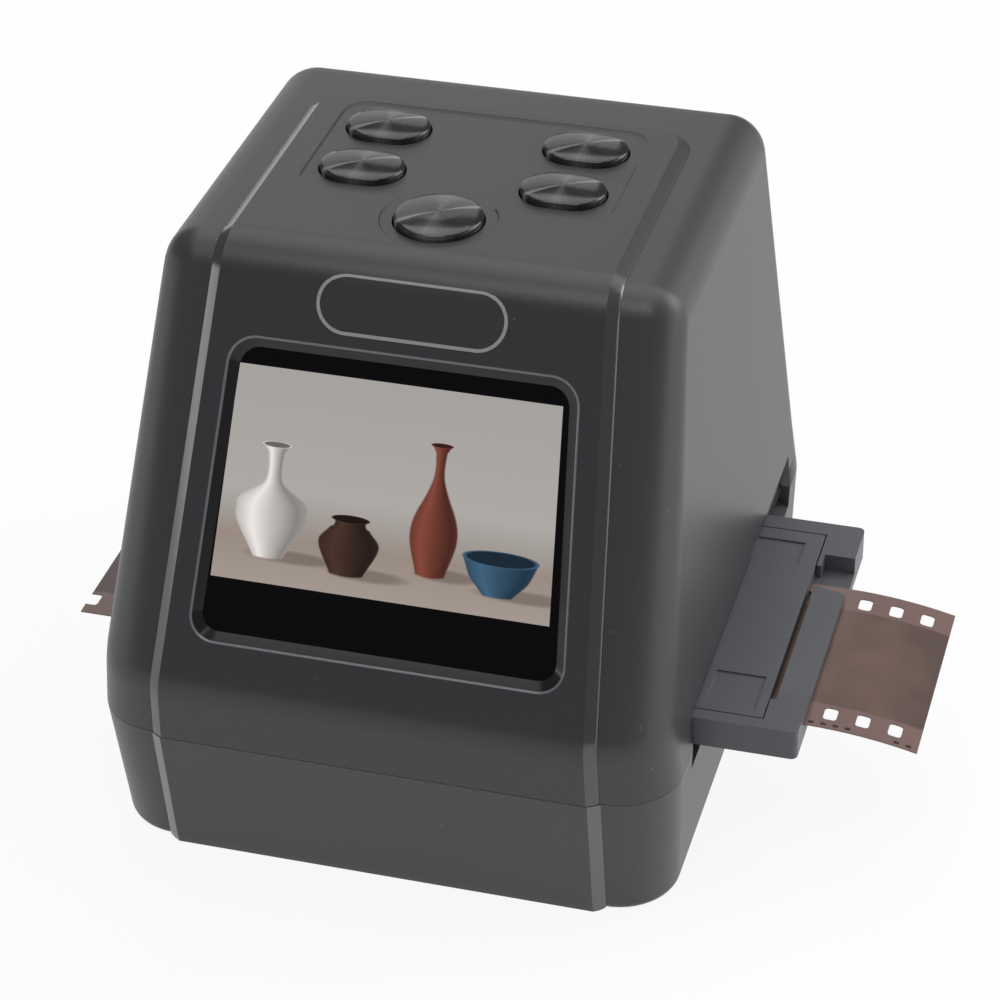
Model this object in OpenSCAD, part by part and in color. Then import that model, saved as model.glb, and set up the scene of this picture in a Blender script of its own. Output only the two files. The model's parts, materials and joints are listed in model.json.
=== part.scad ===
// Desktop scanner for 35 mm film, with a slide-in film tray.
// Millimetres. X is right, the front faces -Y, Z is up.
// The origin is on the table, under the middle of the base.

/* [Body] */
// Width of the body across the seam
body_w = 87; // [84:0.5:92]
// Width of the body at the top
top_w = 75.6; // [74:0.2:78]
// How far each side of the base lies inside the seam
base_in = 0.9; // [0.5:0.1:2.5]
// Height of the side shells above the table
body_h = 90; // [88:0.5:94]
// Height of the seam between the upper and the lower shell
seam_z = 22.6; // [22:0.1:24]
// Height of the bend in the front face
waist_z = 31.8; // [31:0.1:33]
// Distance from the middle to the front at the bend
waist_front = 53.3; // [53:0.1:54.5]
// How far the front lies behind the bend at the seam
seam_front_in = 0.5; // [0.2:0.1:1]
// How far the front lies behind the bend at the base
base_front_in = 4.5; // [3.5:0.1:5.5]
// Distance from the middle to the front at the top
top_front = 25.6; // [25:0.1:26.5]
// Distance from the middle to the back at the seam
seam_rear = 48; // [47.5:0.1:49]
// How far the back of the base lies behind the seam
base_rear_out = 0.8; // [0.2:0.1:1.4]
// Distance from the middle to the back at the top
top_rear = 33.8; // [33:0.1:35]
// Radius of the upright corners
corner_r = 9.3; // [8.5:0.1:10]
// Radius of the top edges
top_r = 6; // [5.5:0.1:6.5]
// Thickness of the shell walls
wall = 2.2; // [2.1:0.1:2.4]

/* [Centre cover] */
// Width of the centre cover at the top
cover_top_w = 58.8; // [57:0.2:60]
// Width of the centre cover at the bend
cover_waist_w = 66.4; // [65:0.2:68]
// Width of the centre cover at the seam
cover_seam_w = 67.4; // [66:0.2:69]
// Back edge of the centre cover, behind the middle
cover_rear = 22.4; // [21:0.1:24]
// How far the centre cover stands proud of the side shells
cover_proud = 1.2; // [1:0.1:1.4]
// How far the centre cover is let into the upper shell
cover_seat = 1; // [0.9:0.1:1.1]
// Width of the polished chamfer along the sides of the centre cover
cover_chamfer = 1.7; // [1.4:0.1:2]

/* [Display] */
// Width of the display window at its lower edge
window_low_w = 55.6; // [54:0.2:56]
// Width of the display window at its upper edge
window_high_w = 50.7; // [49:0.1:51.5]
// Distance up the slope from the bend to the window
window_low = 7.5; // [7:0.1:8.5]
// Height of the window along the slope
window_l = 44.4; // [43:0.1:45]
// Radius of the corners of the window
window_r = 4; // [3:0.2:5]
// Width of the bevel around the window
window_bevel = 1.5; // [1:0.1:1.7]

/* [Buttons] */
// Length of the four side buttons
button_l = 12.6; // [12:0.1:13]
// Width of the four side buttons
button_w = 9.2; // [8.8:0.1:9.4]
// Diameter of the mode button
mode_d = 12.9; // [12.4:0.1:13.2]
// Sideways distance of the side buttons from the middle
button_x = 15.1; // [14.8:0.1:15.6]
// Place of the back row of buttons
row_back_y = 11.4; // [11:0.1:12]
// Place of the front row of buttons
row_front_y = -1.8; // [-2.2:0.1:-1.4]
// Place of the mode button
mode_y = -13.8; // [-14.2:0.1:-13.4]
// How far a button goes down
button_travel = 0.5; // [0.4:0.05:0.6]

/* [Film and tray] */
// Width of the film
film_w = 35; // [34.9:0.05:35.1]
// Thickness of the film
film_t = 0.2; // [0.15:0.05:0.25]
// Spacing of the sprocket holes
hole_pitch = 4.75; // [4.7:0.01:4.8]
// Middle of the film, across the body
film_y = -13.6; // [-14:0.1:-13]
// Left end of the film
film_left = -53; // [-55:0.5:-51]
// Right end of the film
film_right = 75; // [73:0.5:77]
// Width of the film tray
tray_w = 54; // [53.6:0.1:54.4]
// Thickness of the film tray
tray_t = 4.8; // [4.7:0.05:4.9]
// Right end of the film tray
tray_right = 58.5; // [57.5:0.5:60]
// Left end of the film tray
tray_left = -38; // [-39:0.5:-36]
// Room between the tray and its guide rails
tray_clear = 0.08; // [0.05:0.01:0.1]

/* [Hidden] */
$fn = 48;

// A hair of overlap so that joined shapes fuse, and the gap at a parting line
fuse = 0.02;
part_gap = 0.15;
plate_gap = 0.05;
// The flat underside of the base, and the rubber pads let into it
base_z = 0;
low_edge = 2;
foot_r = 4.5;
foot_t = 1.2;
foot_side_inset = 16.5;
foot_rear_inset = 11;
foot_x = body_w / 2 - foot_side_inset;
foot_y = seam_rear - foot_rear_inset;
// Colours as the photograph shows them
dark = [0.21, 0.20, 0.21];
graphite = [0.34, 0.34, 0.35];
soot = [0.08, 0.08, 0.09];
board_green = [0.05, 0.30, 0.16];
steel = [0.72, 0.72, 0.74];
flex_amber = [0.75, 0.45, 0.15];

// Outline of the base and the seam
base_w = body_w - 2 * base_in;
base_front = waist_front - base_front_in;
seam_front = waist_front - seam_front_in;
base_rear = seam_rear + base_rear_out;
// Lean of the front face from upright
front_lean = atan((waist_front - top_front) / (body_h - waist_z));

// Where the tray, the film and the gate lie in height
gate_top = seam_z + 0.25;
gate_t = 3;
tray_z = gate_top + 0.05;
tray_top = tray_z + tray_t;
film_z = tray_z + 2.5;
rail_top = tray_top + 0.5;
slot_top = tray_top + 0.7;
// The tray's front and back faces: more room lies behind the film than before it
tray_front = film_y - film_w / 2 - 5.2;
tray_rear = tray_front + tray_w;
slot_end_clear = 0.7;
// The groove that carries the look of the slot on to the back corner
groove_rear = seam_rear - 14;
groove_deep = 1.2;
lip_h = 3.6;
lip_deep = 1.2;

// Film gate, light box and shroud
gate_half = 33;
rail_w = 2.5;
rail_front = tray_front - tray_clear;
rail_rear = tray_rear + tray_clear;
frame_w = 36.6;
frame_d = 24.6;
gate_bottom = gate_top - gate_t;
box_half_x = 24;
box_half_y = 17;
floor_z = base_z + wall;
shroud_t = 1.5;
shroud_top = 56;
lens_z = shroud_top + 1.6;
lens_bore = 6;
lens_h = 9.5;
lens_ear_x = 10;
sensor_half = 12;
sensor_board_t = 1.2;

// Middle and outer size of the display module, up the slope
panel_s = window_low + window_l / 2 + 1.5;
panel_x = 60.3;
panel_y = 42.7;

// Buttons
cover_top = body_h + cover_proud;
button_top = cover_top + 1.3;
flange_lip = 1;
flange_top = body_h - wall - 0.05;
flange_h = 1.4;
stem_r = 1.5;
stem_h = 2;
stem_end = flange_top - flange_h - stem_h;
switch_top = stem_end - button_travel - 0.1;
board_t = 1.6;
switch_h = 2.8;
button_board_top = switch_top - switch_h;
button_board_z = button_board_top - board_t;
button_places = [
  [-button_x, row_back_y], [-button_x, row_front_y], [button_x, row_back_y],
  [button_x, row_front_y], [0, mode_y]
];
ribbon_w = 9;
ribbon_x = [-24.5, -4.5, 5.5];
board_half = button_x + 7.9;
board_front = mode_y - 7.2;
board_rear = row_back_y + 6.1;
board_post_places = [
  [-board_half + 4.5, board_front + 3.5], [board_half - 4.5, board_front + 3.5],
  [0, board_rear - 3]
];

// Main board and its sockets
main_z = 8;
main_half = 32;
main_front = 22;
main_top = main_z + board_t;
jack_w = 6.8;
jack_h = 6;
jack_l = 11;
jack_bore_l = 10;
jack_gap = 0.2;
port_recess = 0.37;
port_rear = low_rear(main_top + jack_h) - port_recess;
jack_rear = low_rear(main_top + jack_h) - wall - jack_gap;
main_rear = port_rear - 2.5;
usb_x = 24;
jack_x = 9;
card_x = -18;
jack_r = 1.8;
jack_z = main_top + 3;
processor_x = 12.5;
processor_y = main_front + 6.5;
processor_w = 11;
processor_d = 5.5;
processor_h = 1.4;
memory_x = -4.8;
memory_y = main_front + 9.5;
memory_w = 9;
memory_d = 6;
memory_h = 1.1;
main_post_places = [
  [-main_half + 3, main_front + 3], [main_half - 3, main_front + 3], [2, main_rear - 2.9]
];

// Fasteners
case_side_inset = 6.7;
case_front_inset = 12.3;
case_rear_inset = 10.5;
case_x = body_w / 2 - case_side_inset;
case_front = seam_front - case_front_inset;
case_rear = seam_rear - case_rear_inset;
case_seat = 12.4;
case_head_r = 2;
case_head_h = 1.5;
case_screw_l = 18;
case_places = [for (sx = [-1, 1], y = [-case_front, case_rear]) [sx * case_x, y]];
gate_x = gate_half - 4;
gate_places = [for (sx = [-1, 1], y = [tray_front + 6.3, tray_rear - 5.7]) [sx * gate_x, y]];
shroud_x = gate_half - 7;
shroud_places = [
  for (sx = [-1, 1], y = [rail_front - rail_w, rail_rear + rail_w]) [sx * shroud_x, y]
];
display_places = [
  for (sx = [-1, 1], s = [panel_s - 4.2, panel_s + 12.8]) [sx * (panel_x / 2 + 3.65), s]
];
case_screw_r = 1.1;
case_post_r = 3.6;
small_screw_r = 0.8;
pilot_gap = 0.03;

// Half the width of the side shells at height z, above the seam
function side_half(z) = (body_w - (body_w - top_w) * (z - seam_z) / (body_h - seam_z)) / 2;
// Distance of the front face from the middle at height z, above the bend
function front_at(z) = waist_front
  - (waist_front - top_front) * (z - waist_z) / (body_h - waist_z);
// Distance of the back face from the middle at height z, above the seam
function rear_at(z) = seam_rear - (seam_rear - top_rear) * (z - seam_z) / (body_h - seam_z);

// Distance of the lower shell's back face from the middle at height z
function low_rear(z) = base_rear - (base_rear - seam_rear) * (z - low_edge) / (seam_z - low_edge);

// A flat slab with rounded corners: half width, reach to front and back, radius, thickness
module slab(half, front, rear, r, h) {
  linear_extrude(h)
    translate([-half + r, -front + r])
      offset(r = r, $fn = 32)
        square([2 * (half - r), front + rear - 2 * r]);
}

// The form of the upper shell, grown by g on every face
module upper_form(g) {
  zc = body_h - top_r;
  side_k = sqrt(1 + pow((body_w - top_w) / 2 / (body_h - seam_z), 2));
  front_k = 1 / cos(front_lean);
  rear_k = sqrt(1 + pow((seam_rear - top_rear) / (body_h - seam_z), 2));
  hull() {
    translate([0, 0, seam_z])
      slab(side_half(seam_z) + g, seam_front + g, seam_rear + g, corner_r + g, fuse);
    translate([0, 0, waist_z])
      slab(side_half(waist_z) + g, waist_front + g * front_k, rear_at(waist_z) + g,
        corner_r + g, fuse);
    for (sx = [-1, 1]) {
      translate([sx * (side_half(zc) - top_r * side_k), -front_at(zc) + top_r * front_k, zc])
        sphere(top_r + g, $fn = 32);
      translate([sx * (side_half(zc) - top_r * side_k), rear_at(zc) - top_r * rear_k, zc])
        sphere(top_r + g, $fn = 32);
    }
  }
}

// The form of the lower shell, grown by g, with its floor at height z0
module lower_form(g, z0) {
  lean_in = 1.2;
  hull() {
    translate([0, 0, seam_z - fuse])
      slab(body_w / 2 + g, seam_front + g, seam_rear + g, corner_r + g, fuse);
    translate([0, 0, z0 + low_edge])
      slab(base_w / 2 + g + 0.1, base_front + g + 0.4, base_rear + g, corner_r + g, fuse);
    translate([0, 0, z0])
      slab(base_w / 2 + g - lean_in, base_front + g - lean_in, base_rear + g - lean_in,
        corner_r + g - lean_in, fuse);
  }
}

// The upright prism that the centre cover and its foot lie in, grown by g sideways
module band(g) {
  rear_r = 6;
  tall = body_h + 10;
  intersection() {
    rotate([90, 0, 0])
      linear_extrude(140, center = true)
        polygon([
          [-cover_seam_w / 2 - g, -1], [cover_seam_w / 2 + g, -1],
          [cover_seam_w / 2 + g, seam_z], [cover_waist_w / 2 + g, waist_z],
          [cover_top_w / 2 + g, body_h], [cover_top_w / 2 + g, tall],
          [-cover_top_w / 2 - g, tall], [-cover_top_w / 2 - g, body_h],
          [-cover_waist_w / 2 - g, waist_z], [-cover_seam_w / 2 - g, seam_z]
        ]);
    linear_extrude(tall) {
      translate([-50, -70])
        square([100, 70 - top_front + 1.6]);
      translate([-cover_top_w / 2 + rear_r - g, -40])
        offset(r = rear_r, $fn = 32)
          square([cover_top_w - 2 * rear_r + 2 * g, 40 + cover_rear - rear_r + g]);
    }
  }
}

// Children are placed on the front slope: x across, y up the slope, z out of the face
module on_slope() {
  translate([0, -waist_front, waist_z])
    rotate([90 - front_lean, 0, 0])
      children();
}

// Outline of the display window, shrunk by e
module window_outline(e, r) {
  low = window_low_w / 2 - e - r;
  high = window_high_w / 2 - e - r;
  offset(r = r, $fn = 32)
    polygon([
      [-low, window_low + e + r], [low, window_low + e + r],
      [high, window_low + window_l - e - r], [-high, window_low + window_l - e - r]
    ]);
}

// A flat bar with round ends, length l, width w, height h
module pill(l, w, h) {
  for (sx = [-1, 1])
    translate([sx * (l - w) / 2, 0, 0])
      cylinder(h = h, r = w / 2);
  translate([-(l - w) / 2, -w / 2, 0])
    cube([l - w, w, h]);
}

// The holes for the buttons, grown by g, from z to z + h
module button_holes(g, z, h) {
  for (i = [0:3])
    translate([button_places[i][0], button_places[i][1], z])
      pill(button_l + 2 * g, button_w + 2 * g, h);
  translate([button_places[4][0], button_places[4][1], z])
    cylinder(h = h, r = mode_d / 2 + g);
}

// The shallow panel around the buttons, on the top of the centre cover
module button_panel() {
  panel_r = 4;
  panel_half = 23.2;
  panel_front = row_front_y - 7;
  panel_rear = row_back_y + 7.3;
  translate([0, 0, cover_top - 0.4])
    linear_extrude(5) {
      translate([-panel_half + panel_r, panel_front + panel_r])
        offset(r = panel_r, $fn = 32)
          square([2 * (panel_half - panel_r), panel_rear - panel_front - 2 * panel_r]);
      polygon([
        [-18, row_front_y - 7], [-mode_d / 2 - 1.8, mode_y + 1], [0, mode_y - 4],
        [mode_d / 2 + 1.8, mode_y + 1], [18, row_front_y - 7], [18, row_front_y], [-18, row_front_y]
      ]);
      translate([0, mode_y])
        circle(mode_d / 2 + 1.9);
    }
}

// Two blocks that stand in the slot for the tray, from x0 outwards, with room around the tray
module tray_way(x0, x1) {
  for (sx = [-1, 1])
    translate([sx > 0 ? x0 : -x1, tray_front - slot_end_clear, seam_z - 2])
      cube([x1 - x0, tray_w + 2 * slot_end_clear, slot_top - seam_z + 2]);
}

// Posts in the upper shell that take the case screws and the button board
module upper_posts() {
  intersection() {
    for (p = case_places)
      translate([p[0], p[1], seam_z + 0.4])
        cylinder(h = 26, r = 3.2);
    upper_form(-wall + 0.6);
  }
  for (p = board_post_places)
    translate([p[0], p[1], button_board_top + 0.05])
      cylinder(h = body_h - wall - button_board_top, r = 2.4);
}

module upper_shell() {
  color(graphite)
    difference() {
      union() {
        difference() {
          upper_form(0);
          upper_form(-wall);
        }
        upper_posts();
        on_slope()
          for (p = display_places)
            translate([p[0], p[1], -4.4])
              cylinder(h = 2.6, r = 2.2);
      }
      // seat of the centre cover
      difference() {
        band(0.12);
        upper_form(-cover_seat - 0.05);
      }
      // parting line with the lower shell
      translate([-60, -70, 0])
        cube([120, 140, seam_z + part_gap]);
      // way of the tray, and the groove behind it
      tray_way(body_w / 2 - wall - 7.3, body_w / 2 + 3);
      for (m = [0, 1])
        mirror([m, 0, 0])
          translate([side_half(slot_top) - groove_deep, tray_rear, seam_z])
            cube([10, groove_rear - tray_rear, slot_top - seam_z]);
      // window of the display
      on_slope()
        translate([0, 0, -8])
          linear_extrude(10)
            window_outline(window_bevel + 0.8, window_r - 1.5);
      button_holes(0.4, body_h - wall - 3, 10);
      for (p = case_places)
        translate([p[0], p[1], seam_z - 1])
          cylinder(h = 12, r = case_screw_r + pilot_gap);
      for (p = board_post_places)
        translate([p[0], p[1], button_board_top - 1])
          cylinder(h = 5.5, r = small_screw_r + pilot_gap);
      on_slope()
        for (p = display_places)
          translate([p[0], p[1], -5])
            cylinder(h = 3.2, r = small_screw_r + pilot_gap);
    }
}

module front_cover() {
  color(dark)
    difference() {
      hull() {
        intersection() {
          upper_form(0);
          band(0);
        }
        intersection() {
          upper_form(cover_proud);
          band(-cover_chamfer);
        }
      }
      upper_form(-cover_seat);
      translate([-60, -70, 0])
        cube([120, 140, seam_z + part_gap]);
      button_panel();
      button_holes(0.25, body_h - 5, 12);
      // bevelled opening of the display, and the seat of its window
      on_slope() {
        hull() {
          translate([0, 0, cover_proud])
            linear_extrude(fuse)
              window_outline(0, window_r);
          translate([0, 0, -0.1])
            linear_extrude(fuse)
              window_outline(window_bevel, window_r - 1.2);
        }
        translate([0, 0, -4])
          linear_extrude(4)
            window_outline(-0.1, window_r);
      }
    }
}

// The rear wall's openings for the sockets
module port_cuts() {
  translate([usb_x - 4.3, port_rear - 5, main_top - 0.3])
    cube([8.6, 20, 4.9]);
  translate([jack_x, port_rear + 15, jack_z])
    rotate([90, 0, 0])
      cylinder(h = 20, r = 3.2);
  translate([card_x - 13, port_rear - 5, main_top - 0.2])
    cube([26, 20, 3.7]);
}

// Tongue that locates the upper shell on the lower one
module seam_tongue() {
  tongue_t = 1.2;
  gap = 0.35;
  difference() {
    union() {
      translate([0, 0, seam_z - 3])
        slab(body_w / 2 - wall + 0.8, seam_front - wall + 0.6, seam_rear - wall + 0.8,
          corner_r - wall + 0.8, 2.8);
      translate([0, 0, seam_z - 0.4])
        slab(body_w / 2 - wall - gap, seam_front - wall - gap, seam_rear - wall - gap,
          corner_r - wall - gap, 2);
    }
    translate([0, 0, seam_z - 4])
      slab(body_w / 2 - wall - gap - tongue_t, seam_front - wall - gap - tongue_t,
        seam_rear - wall - gap - tongue_t, corner_r - wall - gap - tongue_t, 8);
    translate([-60, tray_front - 2, seam_z - 3.1])
      cube([120, tray_w + 4, 6]);
  }
}

// The foot of the centre band, on the front of the lower shell
module chin() {
  hull()
    for (g = [0, cover_proud])
      intersection() {
        lower_form(g, base_z);
        band(-cover_chamfer * g / cover_proud);
        translate([-60, -90, 0])
          cube([120, 90, seam_z - fuse]);
      }
}

// The ring of walls between the base plate and the seam. The case screws clamp it.
module lower_shell() {
  color(graphite)
    difference() {
      union() {
        difference() {
          union() {
            lower_form(0, base_z);
            chin();
          }
          lower_form(-wall, floor_z);
        }
        seam_tongue();
      }
      // joint with the base plate, and room for its case posts
      translate([-60, -70, base_z - 1])
        cube([120, 140, floor_z - base_z + 1 + plate_gap]);
      for (p = case_places)
        translate([p[0], p[1], base_z])
          cylinder(h = seam_z + 6, r = case_post_r + 0.15);
      // chamfered lip under the slot, on both sides
      for (sx = [-1, 1])
        translate([sx * side_half(seam_z), 0, seam_z])
          rotate([0, sx * atan(lip_deep / lip_h), 0])
            translate([sx > 0 ? 0 : -10, tray_front - slot_end_clear, -lip_h - 1])
              translate([sx * -lip_deep * 0.97, 0, 1])
                cube([10, groove_rear - tray_front + slot_end_clear, lip_h + 2]);
      port_cuts();
    }
}

// The bottom of the body, with the posts for the case screws, the film gate and the main board
module base_plate() {
  color(graphite)
    difference() {
      union() {
        intersection() {
          union() {
            lower_form(0, base_z);
            chin();
          }
          translate([-60, -70, base_z - 1])
            cube([120, 140, floor_z - base_z + 1]);
        }
        for (p = case_places)
          translate([p[0], p[1], base_z + 0.5])
            cylinder(h = seam_z - base_z - 0.7, r = case_post_r);
        for (p = gate_places)
          translate([p[0], p[1], floor_z - 0.5])
            cylinder(h = gate_bottom - floor_z + 0.45, r = 2.8);
        for (p = main_post_places)
          translate([p[0], p[1], floor_z - 0.5])
            cylinder(h = main_z - floor_z + 0.45, r = 2.2);
      }
      for (p = case_places) {
        translate([p[0], p[1], -1])
          cylinder(h = case_seat + 1, r = case_head_r + 0.3);
        translate([p[0], p[1], 0])
          cylinder(h = 30, r = case_screw_r + 0.2);
      }
      for (p = gate_places)
        translate([p[0], p[1], gate_bottom - 9])
          cylinder(h = 12, r = small_screw_r + pilot_gap);
      for (p = main_post_places)
        translate([p[0], p[1], main_z - 4])
          cylinder(h = 6, r = small_screw_r + pilot_gap);
      for (sx = [-1, 1], sy = [-1, 1])
        translate([sx * foot_x, sy * foot_y, base_z - 1])
          cylinder(h = 1 + foot_t, r = foot_r + 0.1);
    }
}

module display_window() {
  color(soot)
    on_slope()
      translate([0, 0, -0.95])
        linear_extrude(0.9)
          window_outline(0, window_r - 0.1);
}

module display_panel() {
  color([0.15, 0.16, 0.2])
    on_slope()
      translate([-panel_x / 2, panel_s - panel_y / 2, -4.9])
        cube([panel_x, panel_y, 2.6]);
}

module display_frame() {
  ear_r = 2.2;
  ear_reach = 3;
  color([0.75, 0.75, 0.72])
    on_slope()
      difference() {
        union() {
          translate([-panel_x / 2 - 1.3, panel_s - panel_y / 2 - 1.3, -6.2])
            cube([panel_x + 2.6, panel_y + 2.6, 3.6]);
          for (p = display_places)
            translate([p[0], p[1], -6.2]) {
              cylinder(h = 1.7, r = ear_r);
              translate([p[0] > 0 ? -ear_reach : 0, -ear_r, 0])
                cube([ear_reach, 2 * ear_r, 1.7]);
            }
        }
        translate([-panel_x / 2 - 0.1, panel_s - panel_y / 2 - 0.1, -4.95])
          cube([panel_x + 0.2, panel_y + 0.2, 4]);
        translate([-20, panel_s - 12, -7])
          cube([40, 24, 4]);
        for (p = display_places)
          translate([p[0], p[1], -7])
            cylinder(h = 4, r = small_screw_r + 0.2);
      }
}

// A side button: cap with a slightly domed top, flange below the shell, and stem
module side_button(i) {
  dome_r = 24;
  color(soot)
    translate([button_places[i][0], button_places[i][1], 0]) {
      intersection() {
        translate([0, 0, flange_top - 0.5])
          pill(button_l, button_w, button_top - flange_top + 0.5);
        translate([0, 0, button_top - dome_r])
          sphere(dome_r, $fn = 96);
      }
      translate([0, 0, flange_top - flange_h])
        pill(button_l + 2 * flange_lip, button_w + 2 * flange_lip, flange_h);
      translate([0, 0, stem_end])
        cylinder(h = stem_h + 0.5, r = stem_r);
    }
}

module button_power() {
  side_button(0);
}

module button_back() {
  side_button(1);
}

module button_ok() {
  side_button(2);
}

module button_next() {
  side_button(3);
}

module button_mode() {
  dome_r = 24;
  color(soot)
    translate([0, mode_y, 0]) {
      intersection() {
        translate([0, 0, flange_top - 0.5])
          cylinder(h = button_top - flange_top + 0.5, r = mode_d / 2);
        translate([0, 0, button_top - dome_r])
          sphere(dome_r, $fn = 96);
      }
      translate([0, 0, flange_top - flange_h])
        cylinder(h = flange_h, r = mode_d / 2 + flange_lip);
      translate([0, 0, stem_end])
        cylinder(h = stem_h + 0.5, r = stem_r);
    }
}

module button_board() {
  color(board_green)
    difference() {
      translate([-board_half, board_front, button_board_z])
        cube([2 * board_half, board_rear - board_front, board_t]);
      for (p = board_post_places)
        translate([p[0], p[1], button_board_z - 1])
          cylinder(h = 4, r = small_screw_r + 0.2);
    }
}

module tact_switches() {
  body_h2 = 2.1;
  color(steel)
    for (p = button_places)
      translate([p[0], p[1], button_board_top]) {
        translate([-3, -3, 0])
          cube([6, 6, body_h2]);
        cylinder(h = switch_h, r = 1.6);
      }
}

module main_board() {
  color(board_green)
    difference() {
      translate([-main_half, main_front, main_z])
        cube([2 * main_half, main_rear - main_front, board_t]);
      for (p = main_post_places)
        translate([p[0], p[1], main_z - 1])
          cylinder(h = 4, r = small_screw_r + 0.2);
    }
}

// Processor and memory, and the three ribbon connectors
module board_chips() {
  color(soot) {
    translate([processor_x, processor_y, main_top])
      cube([processor_w, processor_d, processor_h]);
    translate([memory_x, memory_y, main_top])
      cube([memory_w, memory_d, memory_h]);
    for (x = ribbon_x)
      translate([x - 0.3, main_front + 0.3, main_top])
        cube([ribbon_w + 0.6, 2.4, 1]);
  }
}

module usb_socket() {
  color(steel)
    difference() {
      translate([usb_x - 3.85, port_rear - 9, main_top])
        cube([7.7, 9, 3.9]);
      translate([usb_x - 3.4, port_rear - 7, main_top + 0.45])
        cube([6.8, 8, 3]);
    }
}

// A block that ends just behind the rear wall, where a round opening lets the plug in
module video_jack() {
  color(soot)
    difference() {
      translate([jack_x - jack_w / 2, jack_rear - jack_l, main_top])
        cube([jack_w, jack_l, jack_h]);
      translate([jack_x, jack_rear + 1, jack_z])
        rotate([90, 0, 0])
          cylinder(h = jack_bore_l + 1, r = jack_r);
    }
}

module card_socket() {
  color(steel)
    difference() {
      translate([card_x - 12.8, port_rear - 16, main_top])
        cube([25.6, 16, 3.1]);
      translate([card_x - 12.2, port_rear - 15, main_top + 0.4])
        cube([24.4, 16, 2.3]);
    }
}

module film_gate() {
  color(soot)
    difference() {
      union() {
        translate([-gate_half, rail_front - rail_w, gate_bottom])
          cube([2 * gate_half, rail_rear - rail_front + 2 * rail_w, gate_t]);
        for (y = [rail_front - rail_w, rail_rear])
          translate([-gate_half, y, gate_bottom])
            cube([2 * gate_half, rail_w, rail_top - gate_bottom]);
        for (p = shroud_places)
          translate([p[0], p[1], gate_bottom])
            cylinder(h = rail_top - gate_bottom, r = 2.3);
      }
      translate([-frame_w / 2 - 1.5, film_y - frame_d / 2 - 1.5, gate_bottom - 1])
        cube([frame_w + 3, frame_d + 3, gate_t + 2]);
      for (p = gate_places) {
        translate([p[0], p[1], gate_top - 1.7])
          cylinder(h = 3, r = 1.9);
        translate([p[0], p[1], gate_bottom - 1])
          cylinder(h = gate_t + 1, r = small_screw_r + 0.2);
      }
      for (p = shroud_places)
        translate([p[0], p[1], rail_top - 6])
          cylinder(h = 8, r = small_screw_r + pilot_gap);
      // window in the back rail for the nose of the detent spring
      translate([-3, rail_rear - 1, gate_top + 0.8])
        cube([6, rail_w + 2, rail_top - gate_top]);
    }
}

// Leaf on the outside of the back rail, with a nose that rests in the tray's side groove
module detent_spring() {
  leaf_t = 0.4;
  leaf_y = rail_rear + rail_w + 0.05;
  leaf_h = 2;
  nose_r = 1.2;
  nose_y = tray_rear - 0.5 + nose_r;
  color(steel)
    translate([0, 0, gate_top + 1.3]) {
      translate([-12, leaf_y, 0])
        cube([24, leaf_t, leaf_h]);
      translate([0, nose_y, 0])
        cylinder(h = leaf_h, r = nose_r);
      translate([-0.6, nose_y, 0])
        cube([1.2, leaf_y - nose_y + 0.1, leaf_h]);
    }
}

module light_box() {
  color([0.93, 0.93, 0.9])
    difference() {
      translate([-box_half_x, film_y - box_half_y, floor_z + 0.05])
        cube([2 * box_half_x, 2 * box_half_y, gate_bottom - floor_z - 0.1]);
      translate([-box_half_x + 1.5, film_y - box_half_y + 1.5, floor_z + 1.5])
        cube([2 * box_half_x - 3, 2 * box_half_y - 3, 30]);
      translate([-box_half_x + 0.6, film_y - box_half_y + 0.6, gate_bottom - 1.75])
        cube([2 * box_half_x - 1.2, 2 * box_half_y - 1.2, 5]);
    }
}

module light_diffuser() {
  color([0.97, 0.97, 0.95])
    translate([-box_half_x + 0.7, film_y - box_half_y + 0.7, gate_bottom - 1.7])
      cube([2 * box_half_x - 1.4, 2 * box_half_y - 1.4, 1.6]);
}

module led_board() {
  color([0.9, 0.9, 0.86])
    translate([-box_half_x + 2, film_y - box_half_y + 2, floor_z + 1.55])
      cube([2 * box_half_x - 4, 2 * box_half_y - 4, 1.2]);
}

module backlight_leds() {
  color([1, 0.95, 0.7])
    for (i = [-1.5:1.5], j = [-1:1])
      translate([i * 11 - 1.5, film_y + j * 9.5 - 1.5, floor_z + 2.8])
        cube([3, 3, 1.2]);
}

module light_shroud() {
  low_x = frame_w / 2 + 1.5;
  low_y = frame_d / 2 + 1.5;
  high = 7.5;
  color(soot)
    difference() {
      union() {
        translate([-30, rail_front - rail_w, rail_top + 0.03])
          cube([60, rail_rear - rail_front + 2 * rail_w, shroud_t]);
        for (p = shroud_places)
          translate([p[0], p[1], rail_top + 0.03])
            cylinder(h = shroud_t, r = 2.3);
        hull() {
          translate([-low_x - shroud_t, film_y - low_y - shroud_t, rail_top + 0.5])
            cube([2 * (low_x + shroud_t), 2 * (low_y + shroud_t), fuse]);
          translate([-high - shroud_t, film_y - high - shroud_t, shroud_top - fuse])
            cube([2 * (high + shroud_t), 2 * (high + shroud_t), fuse]);
        }
        translate([-sensor_half, film_y - sensor_half, shroud_top - 0.5])
          cube([2 * sensor_half, 2 * sensor_half, lens_z - shroud_top + 0.5]);
      }
      hull() {
        translate([-low_x, film_y - low_y, rail_top - 1])
          cube([2 * low_x, 2 * low_y, fuse]);
        translate([-high, film_y - high, shroud_top - 1.5])
          cube([2 * high, 2 * high, fuse]);
      }
      translate([0, film_y, shroud_top - 4])
        cylinder(h = 8, r = 5);
      for (p = shroud_places)
        translate([p[0], p[1], rail_top - 1])
          cylinder(h = 4, r = small_screw_r + 0.2);
      for (sx = [-1, 1])
        translate([sx * lens_ear_x, film_y, shroud_top - 1])
          cylinder(h = 4, r = 0.7 + pilot_gap);
    }
}

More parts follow.
